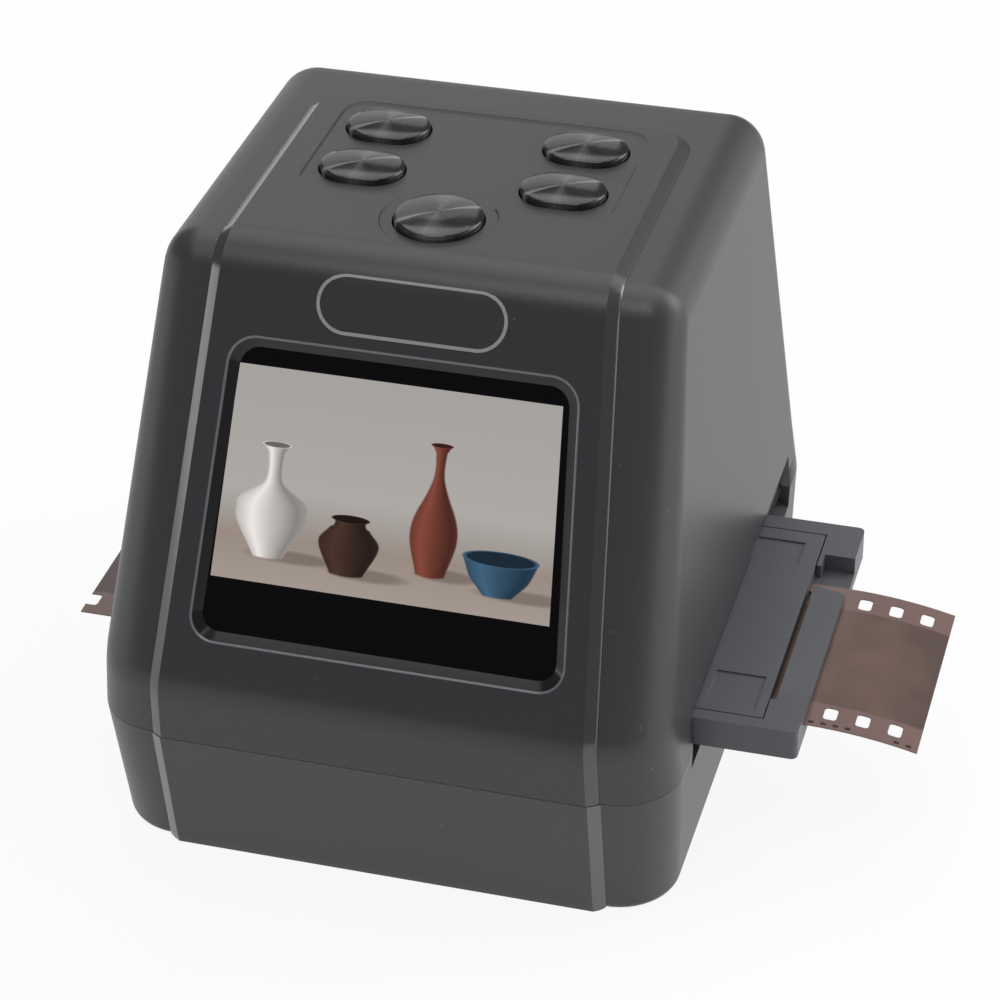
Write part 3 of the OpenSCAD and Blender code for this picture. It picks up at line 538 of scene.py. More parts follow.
# %% [markdown]
# Each button gets a hole with a quarter of a millimetre of room, and a wider one through the
# casing. Both are then shaded: smooth across the rounds, sharp at the edges, with weighted
# normals that keep large faces flat. The cover takes a smaller angle, so that its chamfer stays
# crisp. The casing is shaded once more after its last cut.

# %% Button holes and shading
HOLE_Z, HOLE_DEPTH = 84, 12
CRISP_ANGLE = 24


def button_hole(place, room):
    hole = begin("hole")
    pill_face(*place, HOLE_Z, room)
    pull_up(HOLE_DEPTH)
    return end(hole)


def smooth(piece, angle=32):
    activate(piece)
    bpy.ops.object.shade_smooth_by_angle(angle=math.radians(angle))
    apply_modifier(piece, "WEIGHTED_NORMAL", keep_sharp=True, weight=60)


for place in buttons.values():
    carve(cover, button_hole(place, 0.25))
    carve(upper, button_hole(place, 0.4))
smooth(cover, CRISP_ANGLE)
smooth(upper)

# %% [markdown]
# Above the window a thin pale line runs in a flat oval, bare inside. The cover bends there, so an
# oval is inset, its inner face deleted, and the ring pressed on to the cover by a shrinkwrap.

# %% Oval line
OVAL_X, OVAL_UP, OVAL_SIZE, OVAL_ABOVE = 0.5, 58.1, (27.7, 8.8), 2.0
LINE_WIDTH, LINE_THICKNESS, LINE_LIFT = 0.5, 0.06, 0.03
oval = begin("Oval_line")
pill_face(OVAL_X, OVAL_UP, *OVAL_SIZE, OVAL_ABOVE)
bpy.ops.mesh.subdivide(number_cuts=1)
bpy.ops.mesh.inset(thickness=LINE_WIDTH * MM, use_even_offset=True)
bpy.ops.mesh.delete(type="FACE")
end(oval)
to_slope(oval)
apply_modifier(oval, "SHRINKWRAP", target=cover, wrap_method="NEAREST_SURFACEPOINT",
               wrap_mode="ABOVE_SURFACE", offset=LINE_LIFT * MM)
apply_modifier(oval, "SOLIDIFY", thickness=LINE_THICKNESS * MM, offset=0)

# %% [markdown]
# The lower casing is one more loft, with a small rounded edge at the table. The chin, which
# carries the strip down to the table, is cut from the same kind of strip and welded on, so its
# chamfer meets that of the cover at the seam.

# %% Lower casing
FOOT_HALF, FOOT_FRONT, FOOT_REAR = 42.7, 49.2, 48.8
FOOT_ROUND = ((0, 1.2), (0.2, 0.75), (0.5, 0.42), (0.9, 0.18), (1.4, 0.05), (2.0, 0))
CHIN_PATH = [
    (44.0, -4.0), (48.0, 0.0), (48.78, 0.5), (FOOT_FRONT, 2.0), (FRONT_SEAM, SEAM), (53.1, 25.0)
]
low_outlines = [
    (FOOT_HALF - inset, FOOT_FRONT - inset, FOOT_REAR - inset, CORNER_R - inset, z)
    for z, inset in FOOT_ROUND
]
low_outlines += [
    (HALF_SEAM, FRONT_SEAM, REAR_SEAM, CORNER_R, SEAM), (43.6, 53.0, 47.9, CORNER_R, 25)
]
lower = loft("Lower_casing", low_outlines)
cut_away(lower, SEAM - SEAM_GAP, 1)
thicken(lower)
chin = strip("chin", CHIN_PATH, -COVER_DEPTH, RIM)
cut_away(chin, SEAM - SEAM_GAP, 1, fill=True)
cut_away(chin, 0, -1, fill=True)
carve(lower, chin, "UNION")

# %% [markdown]
# The tray passes through a slot just above the seam, whose upper front corner is round. Slots and
# sockets are cut by blocks: cubes whose mesh is stretched. Edges to be rounded are picked by a
# test of their two ends, as one would pick them by hand.

# %% Blocks and rounded edges
def block(low, high):
    bpy.ops.object.select_all(action="DESELECT")
    bpy.ops.mesh.primitive_cube_add(size=1)
    cube = bpy.context.object
    mode("EDIT")
    bpy.ops.transform.resize(value=[(high[i] - low[i]) * MM for i in range(3)])
    bpy.ops.transform.translate(value=[(high[i] + low[i]) / 2 * MM for i in range(3)])
    mode("OBJECT")
    return cube


def round_edges(piece, test, width, segments):
    mesh = piece.data
    bpy.context.view_layer.objects.active = piece
    mode("EDIT")
    bpy.ops.mesh.select_mode(type="EDGE")
    bpy.ops.mesh.select_all(action="DESELECT")
    mode("OBJECT")
    for edge in mesh.edges:
        a, b = (mesh.vertices[i].co / MM for i in edge.vertices)
        edge.select = bool(test(a, b))
    mode("EDIT")
    bpy.ops.mesh.bevel(offset=width * MM, segments=segments, profile=0.5)
    bpy.ops.mesh.select_mode(type="VERT")
    mode("OBJECT")


# %% [markdown]
# Behind the tray a shallow blind groove carries the line of the slot on to the back corner. Under
# it the rim of the lower casing slopes outwards as a lip, cut by a turned block. Both sides are
# alike, since the film leaves on the left.

# %% Slot, groove and lip
SLOT_FRONT, SLOT_REAR, SLOT_TOP, SLOT_R = -37.0, 18.4, 28.4, 2.9
SLOT_IN, SLOT_OUT, SLOT_BOTTOM = 34.0, 47.0, 20
GROOVE_FRONT, GROOVE_REAR, GROOVE_DEPTH, GROOVE_OUT = 17.0, 34.0, 1.2, 50.0
LIP_IN, LIP_OUT, LIP_LOW, LIP_HIGH = 1.16, 10, -3.6, 3
LIP_SLOPE = math.atan(1 / 3)
NEAR = 0.01


def at_slot_corner(a, b):
    return all(abs(p.z - SLOT_TOP) < NEAR and p.y < SLOT_FRONT + 1 for p in (a, b))


for side in (-1, 1):
    x0, x1 = sorted((side * SLOT_IN, side * SLOT_OUT))
    slot = block((x0, SLOT_FRONT, SLOT_BOTTOM), (x1, SLOT_REAR, SLOT_TOP))
    round_edges(slot, at_slot_corner, SLOT_R, 6)
    carve(upper, slot)
    x0, x1 = sorted((side * (half_at(SLOT_TOP) - GROOVE_DEPTH), side * GROOVE_OUT))
    carve(upper, block((x0, GROOVE_FRONT, SLOT_BOTTOM), (x1, GROOVE_REAR, SLOT_TOP)))
    x0, x1 = sorted((-side * LIP_IN, side * LIP_OUT))
    lip = block((x0, SLOT_FRONT, LIP_LOW), (x1, GROOVE_REAR, LIP_HIGH))
    carve(lower, turn_and_move(lip, -side * LIP_SLOPE, "Y", (side * HALF_SEAM, 0, SEAM)))

# %% [markdown]
# The back wall has openings for a data socket, a memory card and a round video jack. The
# underside has recesses for four rubber pads and holes for the case screws. The sockets and
# screws of the CAD model show through them.

# %% Sockets, pads and screw holes
WALL_IN, WALL_OUT = 42, 60
JACK_X, JACK_Z, JACK_R = 9, 12.6, 3.2
PAD_X, PAD_Y, PAD_R, PAD_DEPTH = 27, 37, 4.6, 1.2
SCREW_X, SCREW_FRONT, SCREW_REAR, SCREW_R, SCREW_DEPTH = 36.8, -40.5, 37.5, 2.3, 12.4
BELOW_FLOOR = -2
ROUND_SIDES = 48


def drill(x, y, z0, z1, radius, backwards=False):
    bpy.ops.mesh.primitive_cylinder_add(
        vertices=ROUND_SIDES, radius=radius * MM, depth=(z1 - z0) * MM
    )
    bit, middle = bpy.context.object, (z0 + z1) / 2
    if backwards:
        return turn_and_move(bit, math.pi / 2, "X", (x, middle, y))
    return turn_and_move(bit, 0, "X", (x, y, middle))


carve(lower, block((19.7, WALL_IN, 9.3), (28.3, WALL_OUT, 14.2)))
carve(lower, block((-31, WALL_IN, 9.4), (-5, WALL_OUT, 13.1)))
carve(lower, drill(JACK_X, JACK_Z, WALL_IN, WALL_OUT, JACK_R, backwards=True))
for sx in (-1, 1):
    for sy in (-1, 1):
        carve(lower, drill(sx * PAD_X, sy * PAD_Y, BELOW_FLOOR, PAD_DEPTH, PAD_R))
    for y in (SCREW_FRONT, SCREW_REAR):
        carve(lower, drill(sx * SCREW_X, y, BELOW_FLOOR, SCREW_DEPTH, SCREW_R))
smooth(lower, CRISP_ANGLE)
smooth(upper)

# %% [markdown]
# The tray and its lid keep their CAD form. A copy of each is welded, its flat faces are joined,
# and all edges get a small round, as moulded plastic has. The two corners that stick out of the
# scanner are rounder, so they are bevelled first.

# %% Tray and lid
TRAY_OUT, TRAY_FRONT, TRAY_REAR = 58.4, -36.2, 17.6
TRAY_CORNER, TRAY_CORNER_STEPS = 1.0, 5
EDGE_ANGLE = 40


def soften(node, name, width, corners=None):
    activate(frame["nodes"][node])
    bpy.ops.object.duplicate()
    piece = bpy.context.object
    piece.parent = None
    piece.name = name
    piece.data.name = name
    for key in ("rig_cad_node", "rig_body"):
        if key in piece:
            del piece[key]
    edit_all(piece)
    bpy.ops.mesh.remove_doubles(threshold=TINY)
    bpy.ops.mesh.dissolve_limited(angle_limit=math.radians(1))
    end(piece)
    if corners:
        round_edges(piece, corners, TRAY_CORNER, TRAY_CORNER_STEPS)
    apply_modifier(piece, "BEVEL", width=width * MM, segments=2, limit_method="ANGLE",
                   angle_limit=math.radians(EDGE_ANGLE), use_clamp_overlap=True)
    smooth(piece, EDGE_ANGLE)
    return piece


def at_outer_corner(a, b):
    upright = abs(a.x - b.x) < NEAR and abs(a.y - b.y) < NEAR
    return upright and a.x > TRAY_OUT and (a.y < TRAY_FRONT or a.y > TRAY_REAR)


tray_base = soften("tray_base", "Tray_base", 0.3, at_outer_corner)
tray_lid = soften("tray_lid", "Tray_lid", 0.2)

# %% [markdown]
# A strip of film lies in the tray. An edge is pulled out along it, flat as far as the tray goes
# and then falling on a wide arc, and the sheet is raised to its thickness. Pulling gives even
# faces along the bend.

# %% Film
FILM_LEFT, FILM_BEND, FILM_RIGHT = -53.0, 58.0, 75.0
FILM_Y, FILM_Z, FILM_WIDTH, FILM_T = -13.6, 25.4, 35, 0.2
BEND_R, BEND_STEPS = 70, 12
film_path = [(FILM_LEFT, FILM_Z), (FILM_BEND, FILM_Z)]
for i in range(1, BEND_STEPS + 1):
    out = mix(0, FILM_RIGHT - FILM_BEND, i / BEND_STEPS)
    film_path.append((FILM_BEND + out, FILM_Z - BEND_R + math.sqrt(BEND_R ** 2 - out ** 2)))
film = begin("Film")
draw_edge((FILM_LEFT, FILM_Y, FILM_Z), along=FILM_WIDTH)
for (x0, z0), (x1, z1) in zip(film_path, film_path[1:]):
    pull_edge(x1 - x0, 0, z1 - z0)
bpy.ops.mesh.select_all(action="SELECT")
pull_up(FILM_T)
end(film)

# %% [markdown]
# The sprocket holes are rounded rectangles in two rows. One punch is repeated by two array
# modifiers, along the film and across it, and a single subtraction cuts them all. At the left end
# the film was cut through a hole.

# %% Sprocket holes
HOLE_PITCH, HOLE_W, HOLE_L, HOLE_R, HOLE_ROW = 4.75, 1.98, 2.8, 0.5, 14.1
HOLES, FIRST_HOLE, PUNCH_BELOW, PUNCH_HEIGHT = 27, -11, 6, 12
punches = begin("punches")
first = (FIRST_HOLE * HOLE_PITCH, FILM_Y - HOLE_ROW, FILM_Z - PUNCH_BELOW)
rounded_rectangle(first, HOLE_W, HOLE_L, HOLE_R, 4)
pull_up(PUNCH_HEIGHT)
end(punches)
for count, step in ((HOLES, (HOLE_PITCH * MM, 0, 0)), (2, (0, 2 * HOLE_ROW * MM, 0))):
    apply_modifier(punches, "ARRAY", count=count, use_relative_offset=False,
                   use_constant_offset=True, constant_offset_displace=step)
carve(film, punches)
smooth(film, 30)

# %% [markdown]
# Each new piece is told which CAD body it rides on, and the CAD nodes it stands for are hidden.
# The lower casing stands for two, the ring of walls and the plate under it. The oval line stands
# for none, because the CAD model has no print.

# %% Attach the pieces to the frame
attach(oval, "scanner")
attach(lower, "scanner")
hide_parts("lower_shell", "base_plate")
for piece, body, node, slot_name in (
    (upper, "scanner", "upper_shell", "shell_plastic"),
    (cover, "scanner", "front_cover", "cover_plastic"),
    (window, "scanner", "display_window", "window_plastic"),
    (tray_base, "tray", "tray_base", "tray_plastic"),
    (tray_lid, "tray", "tray_lid", "tray_plastic"),
    (film, "film", "film_strip", "film_base"),
):
    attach(piece, body)
    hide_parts(node)
    print(piece.name, "rides on", body)

# %% [markdown]
# All looks come from procedural materials. They read the position on the object, and so stay put
# when a piece moves. A few helpers make the nodes that return most.

# %% Colours and nodes
def srgb(code):
    parts = [int(code[i:i + 2], 16) / 255 for i in (1, 3, 5)]
    return [c / 12.92 if c <= 0.04045 else ((c + 0.055) / 1.055) ** 2.4 for c in parts] + [1]


def grey(share):
    return (share, share, share, 1)


def shade(colour, factor):
    return [min(1, c * factor) for c in colour[:3]] + [1]


def new_material(name):
    material = bpy.data.materials.new(name)
    material.use_nodes = True
    tree = material.node_tree
    where = tree.nodes.new("ShaderNodeTexCoord").outputs["Object"]
    return material, tree, tree.nodes["Principled BSDF"], where


def split_position(tree, where):
    node = tree.nodes.new("ShaderNodeSeparateXYZ")
    tree.links.new(where, node.inputs[0])
    return node.outputs[0], node.outputs[1]


def noise(tree, where, scale, detail=2.0):
    node = tree.nodes.new("ShaderNodeTexNoise")
    node.inputs["Scale"].default_value = scale
    node.inputs["Detail"].default_value = detail
    tree.links.new(where, node.inputs["Vector"])
    return node.outputs["Fac"]


def ramp(tree, value, stops):
    node = tree.nodes.new("ShaderNodeValToRGB")
    elements = node.color_ramp.elements
    while len(elements) < len(stops):
        elements.new(0.5)
    for element, (position, colour) in zip(elements, stops):
        element.position = position
        element.color = colour
    tree.links.new(value, node.inputs["Fac"])
    return node.outputs["Color"]


def calc(tree, operation, *values):
    node = tree.nodes.new("ShaderNodeMath")
    node.operation = operation
    for i, value in enumerate(values):
        if isinstance(value, (int, float)):
            node.inputs[i].default_value = value
        else:
            tree.links.new(value, node.inputs[i])
    return node.outputs[0]


def distance(tree, value, middle):
    return calc(tree, "ABSOLUTE", calc(tree, "SUBTRACT", value, middle))


def blended(tree, mask, below, above):
    node = tree.nodes.new("ShaderNodeMix")
    node.data_type = "RGBA"
    tree.links.new(mask, node.inputs[0])
    for socket_number, colour in ((6, below), (7, above)):
        if isinstance(colour, list):
            node.inputs[socket_number].default_value = colour
        else:
            tree.links.new(colour, node.inputs[socket_number])
    return node.outputs[2]


# %% [markdown]
# Moulded plastic has a fine grain. One noise shifts its colour a little and raises its surface,
# and cells of which only some are chosen make tiny bright specks, which are painted glints.
# Polished faces get the same plastic without them, with a lower roughness and a stronger mirror.

# %% Plastic
GLINT_SCALE = 420
GLINT_POINT = [(0.03, grey(1)), (0.08, grey(0))]
GLINT_CHOICE = [(0.62, grey(0)), (0.75, grey(1))]
GRAIN_HEIGHT = 0.0001


def painted_glint_mask(tree, where):
    cells = tree.nodes.new("ShaderNodeTexVoronoi")
    cells.inputs["Scale"].default_value = GLINT_SCALE
    tree.links.new(where, cells.inputs["Vector"])
    near = ramp(tree, cells.outputs["Distance"], GLINT_POINT)
    chosen = ramp(tree, cells.outputs["Color"], GLINT_CHOICE)
    return calc(tree, "MULTIPLY", near, chosen)


def plastic(name, code, roughness, grain=0.05, scale=2500, painted_glints=0.0, bump=0.0, mirror=0.5):
    material, tree, shader, where = new_material(name)
    base = srgb(code)
    cloud = noise(tree, where, scale)
    colour = ramp(tree, cloud, [(0.3, shade(base, 1 - grain)), (0.7, shade(base, 1 + grain))])
    # Painted glints: a few tiny specks of the colour made much brighter.
    if painted_glints:
        colour = blended(tree, painted_glint_mask(tree, where), colour, shade(base, 1 + painted_glints))
    tree.links.new(colour, shader.inputs["Base Color"])
    shader.inputs["Roughness"].default_value = roughness
    shader.inputs["Specular IOR Level"].default_value = mirror
    if bump:
        node = tree.nodes.new("ShaderNodeBump")
        node.inputs["Strength"].default_value = bump
        node.inputs["Distance"].default_value = GRAIN_HEIGHT
        tree.links.new(cloud, node.inputs["Height"])
        tree.links.new(node.outputs["Normal"], shader.inputs["Normal"])
    return material


# Both casing plastics carry painted glints.
shell_plastic = plastic("Body plastic", "#3b3b3e", 0.4, painted_glints=2.0, bump=0.1)
cover_plastic = plastic("Cover plastic", "#363538", 0.38, painted_glints=2.5, bump=0.1)
polish = plastic("Polished chamfer", "#3b3b3e", 0.18, mirror=0.9)
# The chin's chamfer is the same polished plastic painted lighter, which is painted light on the
# chin.
chin_polish_painted_lighter = plastic("Polished chin chamfer painted lighter", "#57575b", 0.18, mirror=0.9)
bevel_gloss = plastic("Window bevel", "#202022", 0.16, mirror=0.3)
# A lighter grey on the window's rounded rim is a painted highlight.
window_rim_painted_highlight = plastic("Window rim painted highlight", "#6c6e72", 0.25)
pale_line = plastic("Pale line", "#9a9a9a", 0.5)
black_plastic = plastic("Black plastic", "#161618", 0.5)
tray_plastic = plastic("Tray plastic", "#515358", 0.42, bump=0.08)
print(len(bpy.data.materials), "materials so far")

# %% [markdown]
# The cover has several finishes on one mesh: satin faces, polished chamfers, a glossy black bevel
# around the window and a lighter line at its rim, which is a painted highlight. A test of each
# face's middle and normal finds them again after any change of shape. The chamfer at the right of
# the top stays satin, since it hardly shows on the real scanner.

# %% Which face is which
TILT = 0.3  # of a normal
CHAMFER_IN, TOP_BACK, OFF_FLOOR = 27, 20, 0.1
FLAT_FACING = 0.95
WINDOW_ZONE = (28.3, 7, 52.4)  # half width, from, to, up the slope
EDGE_FROM, EDGE_TO = 1.05, 1.195


def up_slope(centre):
    return (centre.y + FRONT_WAIST) * math.sin(LEAN) + (centre.z - WAIST) * math.cos(LEAN)


def off_slope(centre):
    return (centre.z - WAIST) * math.sin(LEAN) - (centre.y + FRONT_WAIST) * math.cos(LEAN)


def in_window(centre):
    half, low, high = WINDOW_ZONE
    return abs(centre.x) < half and low < up_slope(centre) < high


def is_chamfer(centre, normal):
    turned_out = TILT < abs(normal.x) and abs(centre.x) > CHAMFER_IN
    back = TILT < normal.y and centre.y > TOP_BACK
    return (turned_out or back) and centre.z > OFF_FLOOR


def is_polished(centre, normal):
    return is_chamfer(centre, normal) and not (centre.x > CHAMFER_IN and centre.z > TOP)


def is_opening(centre, normal):
    facing = -normal.y * math.cos(LEAN) + normal.z * math.sin(LEAN)
    return in_window(centre) and facing < FLAT_FACING


def is_window_edge(centre, normal):
    return in_window(centre) and EDGE_FROM < off_slope(centre) < EDGE_TO


def is_chin_chamfer(centre, normal):
    return 31 < abs(centre.x) < 33.9 and centre.y < -44 and is_chamfer(centre, normal)


# %% [markdown]
# A face carries the number of a slot in its mesh's list of materials. So the list is filled
# first, and then the faces that pass a test get their number. Later tests win.

# %% Paint the casing and the tray
def paint(piece, *materials):
    piece.data.materials.clear()
    for material in materials:
        piece.data.materials.append(material)


def paint_faces(piece, index, test):
    chosen = [face for face in piece.data.polygons if test(face.center / MM, face.normal)]
    for face in chosen:
        face.material_index = index
    print(piece.name, len(chosen), "faces of", piece.data.materials[index].name)


paint(upper, shell_plastic)
paint(lower, shell_plastic, chin_polish_painted_lighter)
# The chin chamfer takes the lighter copy, which is painted light.
paint_faces(lower, 1, is_chin_chamfer)
paint(cover, cover_plastic, polish, bevel_gloss, window_rim_painted_highlight)
paint_faces(cover, 1, is_polished)
paint_faces(cover, 2, is_opening)
# The window's rim gets the painted highlight.
paint_faces(cover, 3, is_window_edge)
paint(oval, pale_line)
paint(tray_base, tray_plastic)
paint(tray_lid, tray_plastic)

# %% [markdown]
# The buttons are spun and glossy. The light that such a finish shows is painted into the colour:
# two wedges of painted highlight that meet in the middle, from the angle around the button's own
# centre, and a noise over that angle adds fine painted streaks of highlight.

# %% Button material
BROAD_RAY, SHARP_RAY = (0.0, 14.0), (1.0, 260.0)  # angle, and how narrow
STREAK_SCALE, STREAK_DETAIL = 6.0, 6.0
PAINTED_HIGHLIGHT_TONES = [
    (0.1, srgb("#151517")), (0.3, srgb("#2a2a2c")), (0.75, srgb("#4a4a4d")), (1, srgb("#707074"))
]


def ray(tree, angle, at, power):
    turned = calc(tree, "SUBTRACT", angle, at)
    facing = calc(tree, "ABSOLUTE", calc(tree, "COSINE", turned))
    return calc(tree, "POWER", facing, power)


def spun_with_painted_highlights(name, x, y):
    material, tree, shader, where = new_material(name)
    across, along = split_position(tree, where)
    dx = calc(tree, "SUBTRACT", across, x * MM)
    angle = calc(tree, "ARCTAN2", dx, calc(tree, "SUBTRACT", along, y * MM))
    join = tree.nodes.new("ShaderNodeCombineXYZ")
    tree.links.new(calc(tree, "SINE", angle), join.inputs[0])
    tree.links.new(calc(tree, "COSINE", angle), join.inputs[1])
    highlight_streak = noise(tree, join.outputs[0], STREAK_SCALE, STREAK_DETAIL)
    # Painted highlight: broad and sharp wedges of light and the streaks, worked into the base
    # colour.
    light = calc(tree, "MULTIPLY", ray(tree, angle, *BROAD_RAY), 0.5)
    light = calc(tree, "ADD", light, ray(tree, angle, *SHARP_RAY))
    light = calc(tree, "ADD", light, calc(tree, "MULTIPLY", highlight_streak, 0.45))
    tree.links.new(ramp(tree, light, PAINTED_HIGHLIGHT_TONES), shader.inputs["Base Color"])
    shader.inputs["Roughness"].default_value = 0.14
    return material


for name, (x, y, length, width) in buttons.items():
    paint(bpy.data.objects[name.title()], spun_with_painted_highlights("Spun with painted highlights " + name, x, y))
print("spun finish on", len(buttons), "buttons")

# %% [markdown]
# The window is black lacquer with a lit picture behind it, a plain still life: a pale wall, a tan
# table and four pots. Masks with a soft edge draw it: values that rise from 0 to 1 within a short
# way.

# %% Masks for the picture
def clamped(tree, value):
    low = calc(tree, "MAXIMUM", value, 0.0)
    return calc(tree, "MINIMUM", low, 1.0)


def oval_mask(tree, across, height, middle, radii, soft=8.0):
    (x, y), (rx, ry) = middle, radii
    dx = calc(tree, "MULTIPLY_ADD", across, 1 / rx, -x / rx)
    dy = calc(tree, "MULTIPLY_ADD", height, 1 / ry, -y / ry)
    dist = calc(tree, "ADD", calc(tree, "MULTIPLY", dx, dx), calc(tree, "MULTIPLY", dy, dy))
    return clamped(tree, calc(tree, "MULTIPLY_ADD", dist, -soft, soft + 0.5))


# %% [markdown]
# A colour ramp holds each pot's outline, its half width from foot to lip, as on a potter's wheel.
# A second ramp shades it from the lit left side to the dark right one. The foot curves down in
# the middle and the mouth is an ellipse, because one looks down on the pots a little.

# %% Pots
VASES = (
    # middle, foot, height, half width, outline from foot to lip, colour
    (-17.4, 21.4, 16.5, 5.4,
     ((0.0, 0.42), (0.3, 1.0), (0.5, 0.86), (0.66, 0.30), (0.92, 0.24), (1.0, 0.40)), "#cfcac6"),
    (-5.6, 20.4, 8.4, 4.6,
     ((0.0, 0.55), (0.45, 1.0), (0.8, 0.66), (0.9, 0.52), (1.0, 0.62)), "#3e2a22"),
    (6.6, 22.0, 19.0, 3.6,
     ((0.0, 0.62), (0.25, 1.0), (0.5, 0.74), (0.72, 0.30), (0.94, 0.26), (1.0, 0.46)), "#733d30"),
    (16.6, 20.6, 5.6, 5.6, ((0.0, 0.38), (0.3, 0.72), (0.7, 0.95), (1.0, 1.0)), "#35546c"),
)
ROUND_SHADES = ((0.0, 0.75), (0.24, 1.35), (0.5, 0.85), (0.85, 0.38), (1.0, 0.5))
MOUTH = ((1.0, 1.1), (0.9, 0.22))  # share of the lip's width, brightness
MOUTH_FLAT, EDGE_SHARP = 0.2, 4.0
SHADOW_CODE = "#4d4039"


def pot_shadow(tree, across, height, picture, x, foot, half):
    mask = oval_mask(tree, across, height, (x + half * 0.7, foot - 0.3), (half * 1.2, 0.9), 1.0)
    mask = calc(tree, "MULTIPLY", mask, 0.5)
    return blended(tree, mask, picture, srgb(SHADOW_CODE))


def vase(tree, across, height, picture, spec):
    x, foot, tall, half, profile, code = spec
    lip = profile[-1][1] * half
    base = srgb(code)
    picture = pot_shadow(tree, across, height, picture, x, foot, half)
    dx = calc(tree, "MULTIPLY_ADD", across, 1 / half, -x / half)
    bend = calc(tree, "MULTIPLY", calc(tree, "MULTIPLY", dx, dx), -1.0)
    level = calc(tree, "MULTIPLY_ADD", height, 1 / tall, (1.0 - foot) / tall)
    rise = calc(tree, "MULTIPLY_ADD", bend, 1.0 / tall, level)
    width = ramp(tree, rise, [(place, grey(share)) for place, share in profile])
    width.node.color_ramp.interpolation = "CARDINAL"
    inside = calc(tree, "SUBTRACT", width, calc(tree, "ABSOLUTE", dx))
    inside = clamped(tree, calc(tree, "MULTIPLY", inside, half * EDGE_SHARP))
    above = clamped(tree, calc(tree, "MULTIPLY", rise, tall * EDGE_SHARP))
    below = calc(tree, "MULTIPLY_ADD", level, -tall * EDGE_SHARP, tall * EDGE_SHARP)
    inside = calc(tree, "MULTIPLY", inside, above)
    inside = calc(tree, "MULTIPLY", inside, clamped(tree, below))
    side = calc(tree, "MULTIPLY_ADD", calc(tree, "DIVIDE", dx, width), 0.5, 0.5)
    tone = ramp(tree, side, [(place, shade(base, light)) for place, light in ROUND_SHADES])
    picture = blended(tree, inside, picture, tone)
    for share, light in MOUTH:
        middle, wide = (x, foot + tall - 1.0), lip * share
        mouth = oval_mask(tree, across, height, middle, (wide, wide * MOUTH_FLAT))
        picture = blended(tree, mouth, picture, shade(base, light))
    return picture


# %% [markdown]
# Two coordinates are worked out first, in millimetres: across the window, and up the slope from
# the bend. The picture glows inside its own trapezium, and around it the pane is black and
# glossy.

# %% Window material
WALL_AND_TABLE = [
    (0.34, srgb("#a3978f")), (0.48, srgb("#988a81")), (0.535, srgb("#9f9892")),
    (0.62, srgb("#aca8a4")), (0.97, srgb("#a5a19e"))
]
PICTURE_HALF, PICTURE_TAPER, PICTURE_SHIFT = 25.78, -0.0459, 0.5
PICTURE_MIDDLE, PICTURE_RISE = 32.35, 15.45


def window_coordinates(tree, where):
    across = calc(tree, "MULTIPLY", split_position(tree, where)[0], 1000.0)
    up = tree.nodes.new("ShaderNodeVectorMath")
    up.operation = "DOT_PRODUCT"
    tree.links.new(where, up.inputs[0])
    up.inputs[1].default_value = (0, 1000 * math.sin(LEAN), 1000 * math.cos(LEAN))
    start = -FRONT_WAIST * math.sin(LEAN) + WAIST * math.cos(LEAN)
    return across, calc(tree, "SUBTRACT", up.outputs["Value"], start)


def picture_area(tree, across, height):
    half = calc(tree, "MULTIPLY_ADD", height, PICTURE_TAPER, PICTURE_HALF)
    from_middle = calc(tree, "ABSOLUTE", calc(tree, "ADD", across, PICTURE_SHIFT))
    in_width = calc(tree, "LESS_THAN", from_middle, half)
    from_line = distance(tree, height, PICTURE_MIDDLE)
    in_height = calc(tree, "LESS_THAN", from_line, PICTURE_RISE)
    return calc(tree, "MULTIPLY", in_width, in_height)


def window_material():
    material, tree, shader, where = new_material("Window")
    across, height = window_coordinates(tree, where)
    drift = calc(tree, "MULTIPLY_ADD", noise(tree, where, 60), 1.0, height)
    picture = ramp(tree, calc(tree, "MULTIPLY", drift, 0.02), WALL_AND_TABLE)
    for spec in VASES:
        picture = vase(tree, across, height, picture, spec)
    shader.inputs["Base Color"].default_value = (0.003, 0.003, 0.004, 1)
    shader.inputs["Roughness"].default_value = 0.08
    shader.inputs["Specular IOR Level"].default_value = 0.2
    tree.links.new(picture, shader.inputs["Emission Color"])
    tree.links.new(picture_area(tree, across, height), shader.inputs["Emission Strength"])
    return material


paint(window, window_material())
print("window picture with", len(VASES), "pots")

# %% [markdown]
# Film base is brown and lets some light through. Darker frames follow each other between the two
# rows of holes, and a broken row of tiny ticks runs along the front edge. Each is a test of a
# coordinate, and each product joins two tests.

# %% Film material
FRAME_PITCH, FRAME_START = 38.0, 0.763
FRAME_SHARE, FRAME_ROWS = 0.474, 12.0
EXPOSED = [(0.3, srgb("#574846")), (0.5, srgb("#6b574f")), (0.7, srgb("#766057"))]
BORDER_CODE, TICK_CODE = "#7d6661", "#3a2a26"
TICKS_PER_METRE, TICK_SHARE, TICK_ROW, TICK_HALF = 560.0, 0.45, 16.7, 0.3


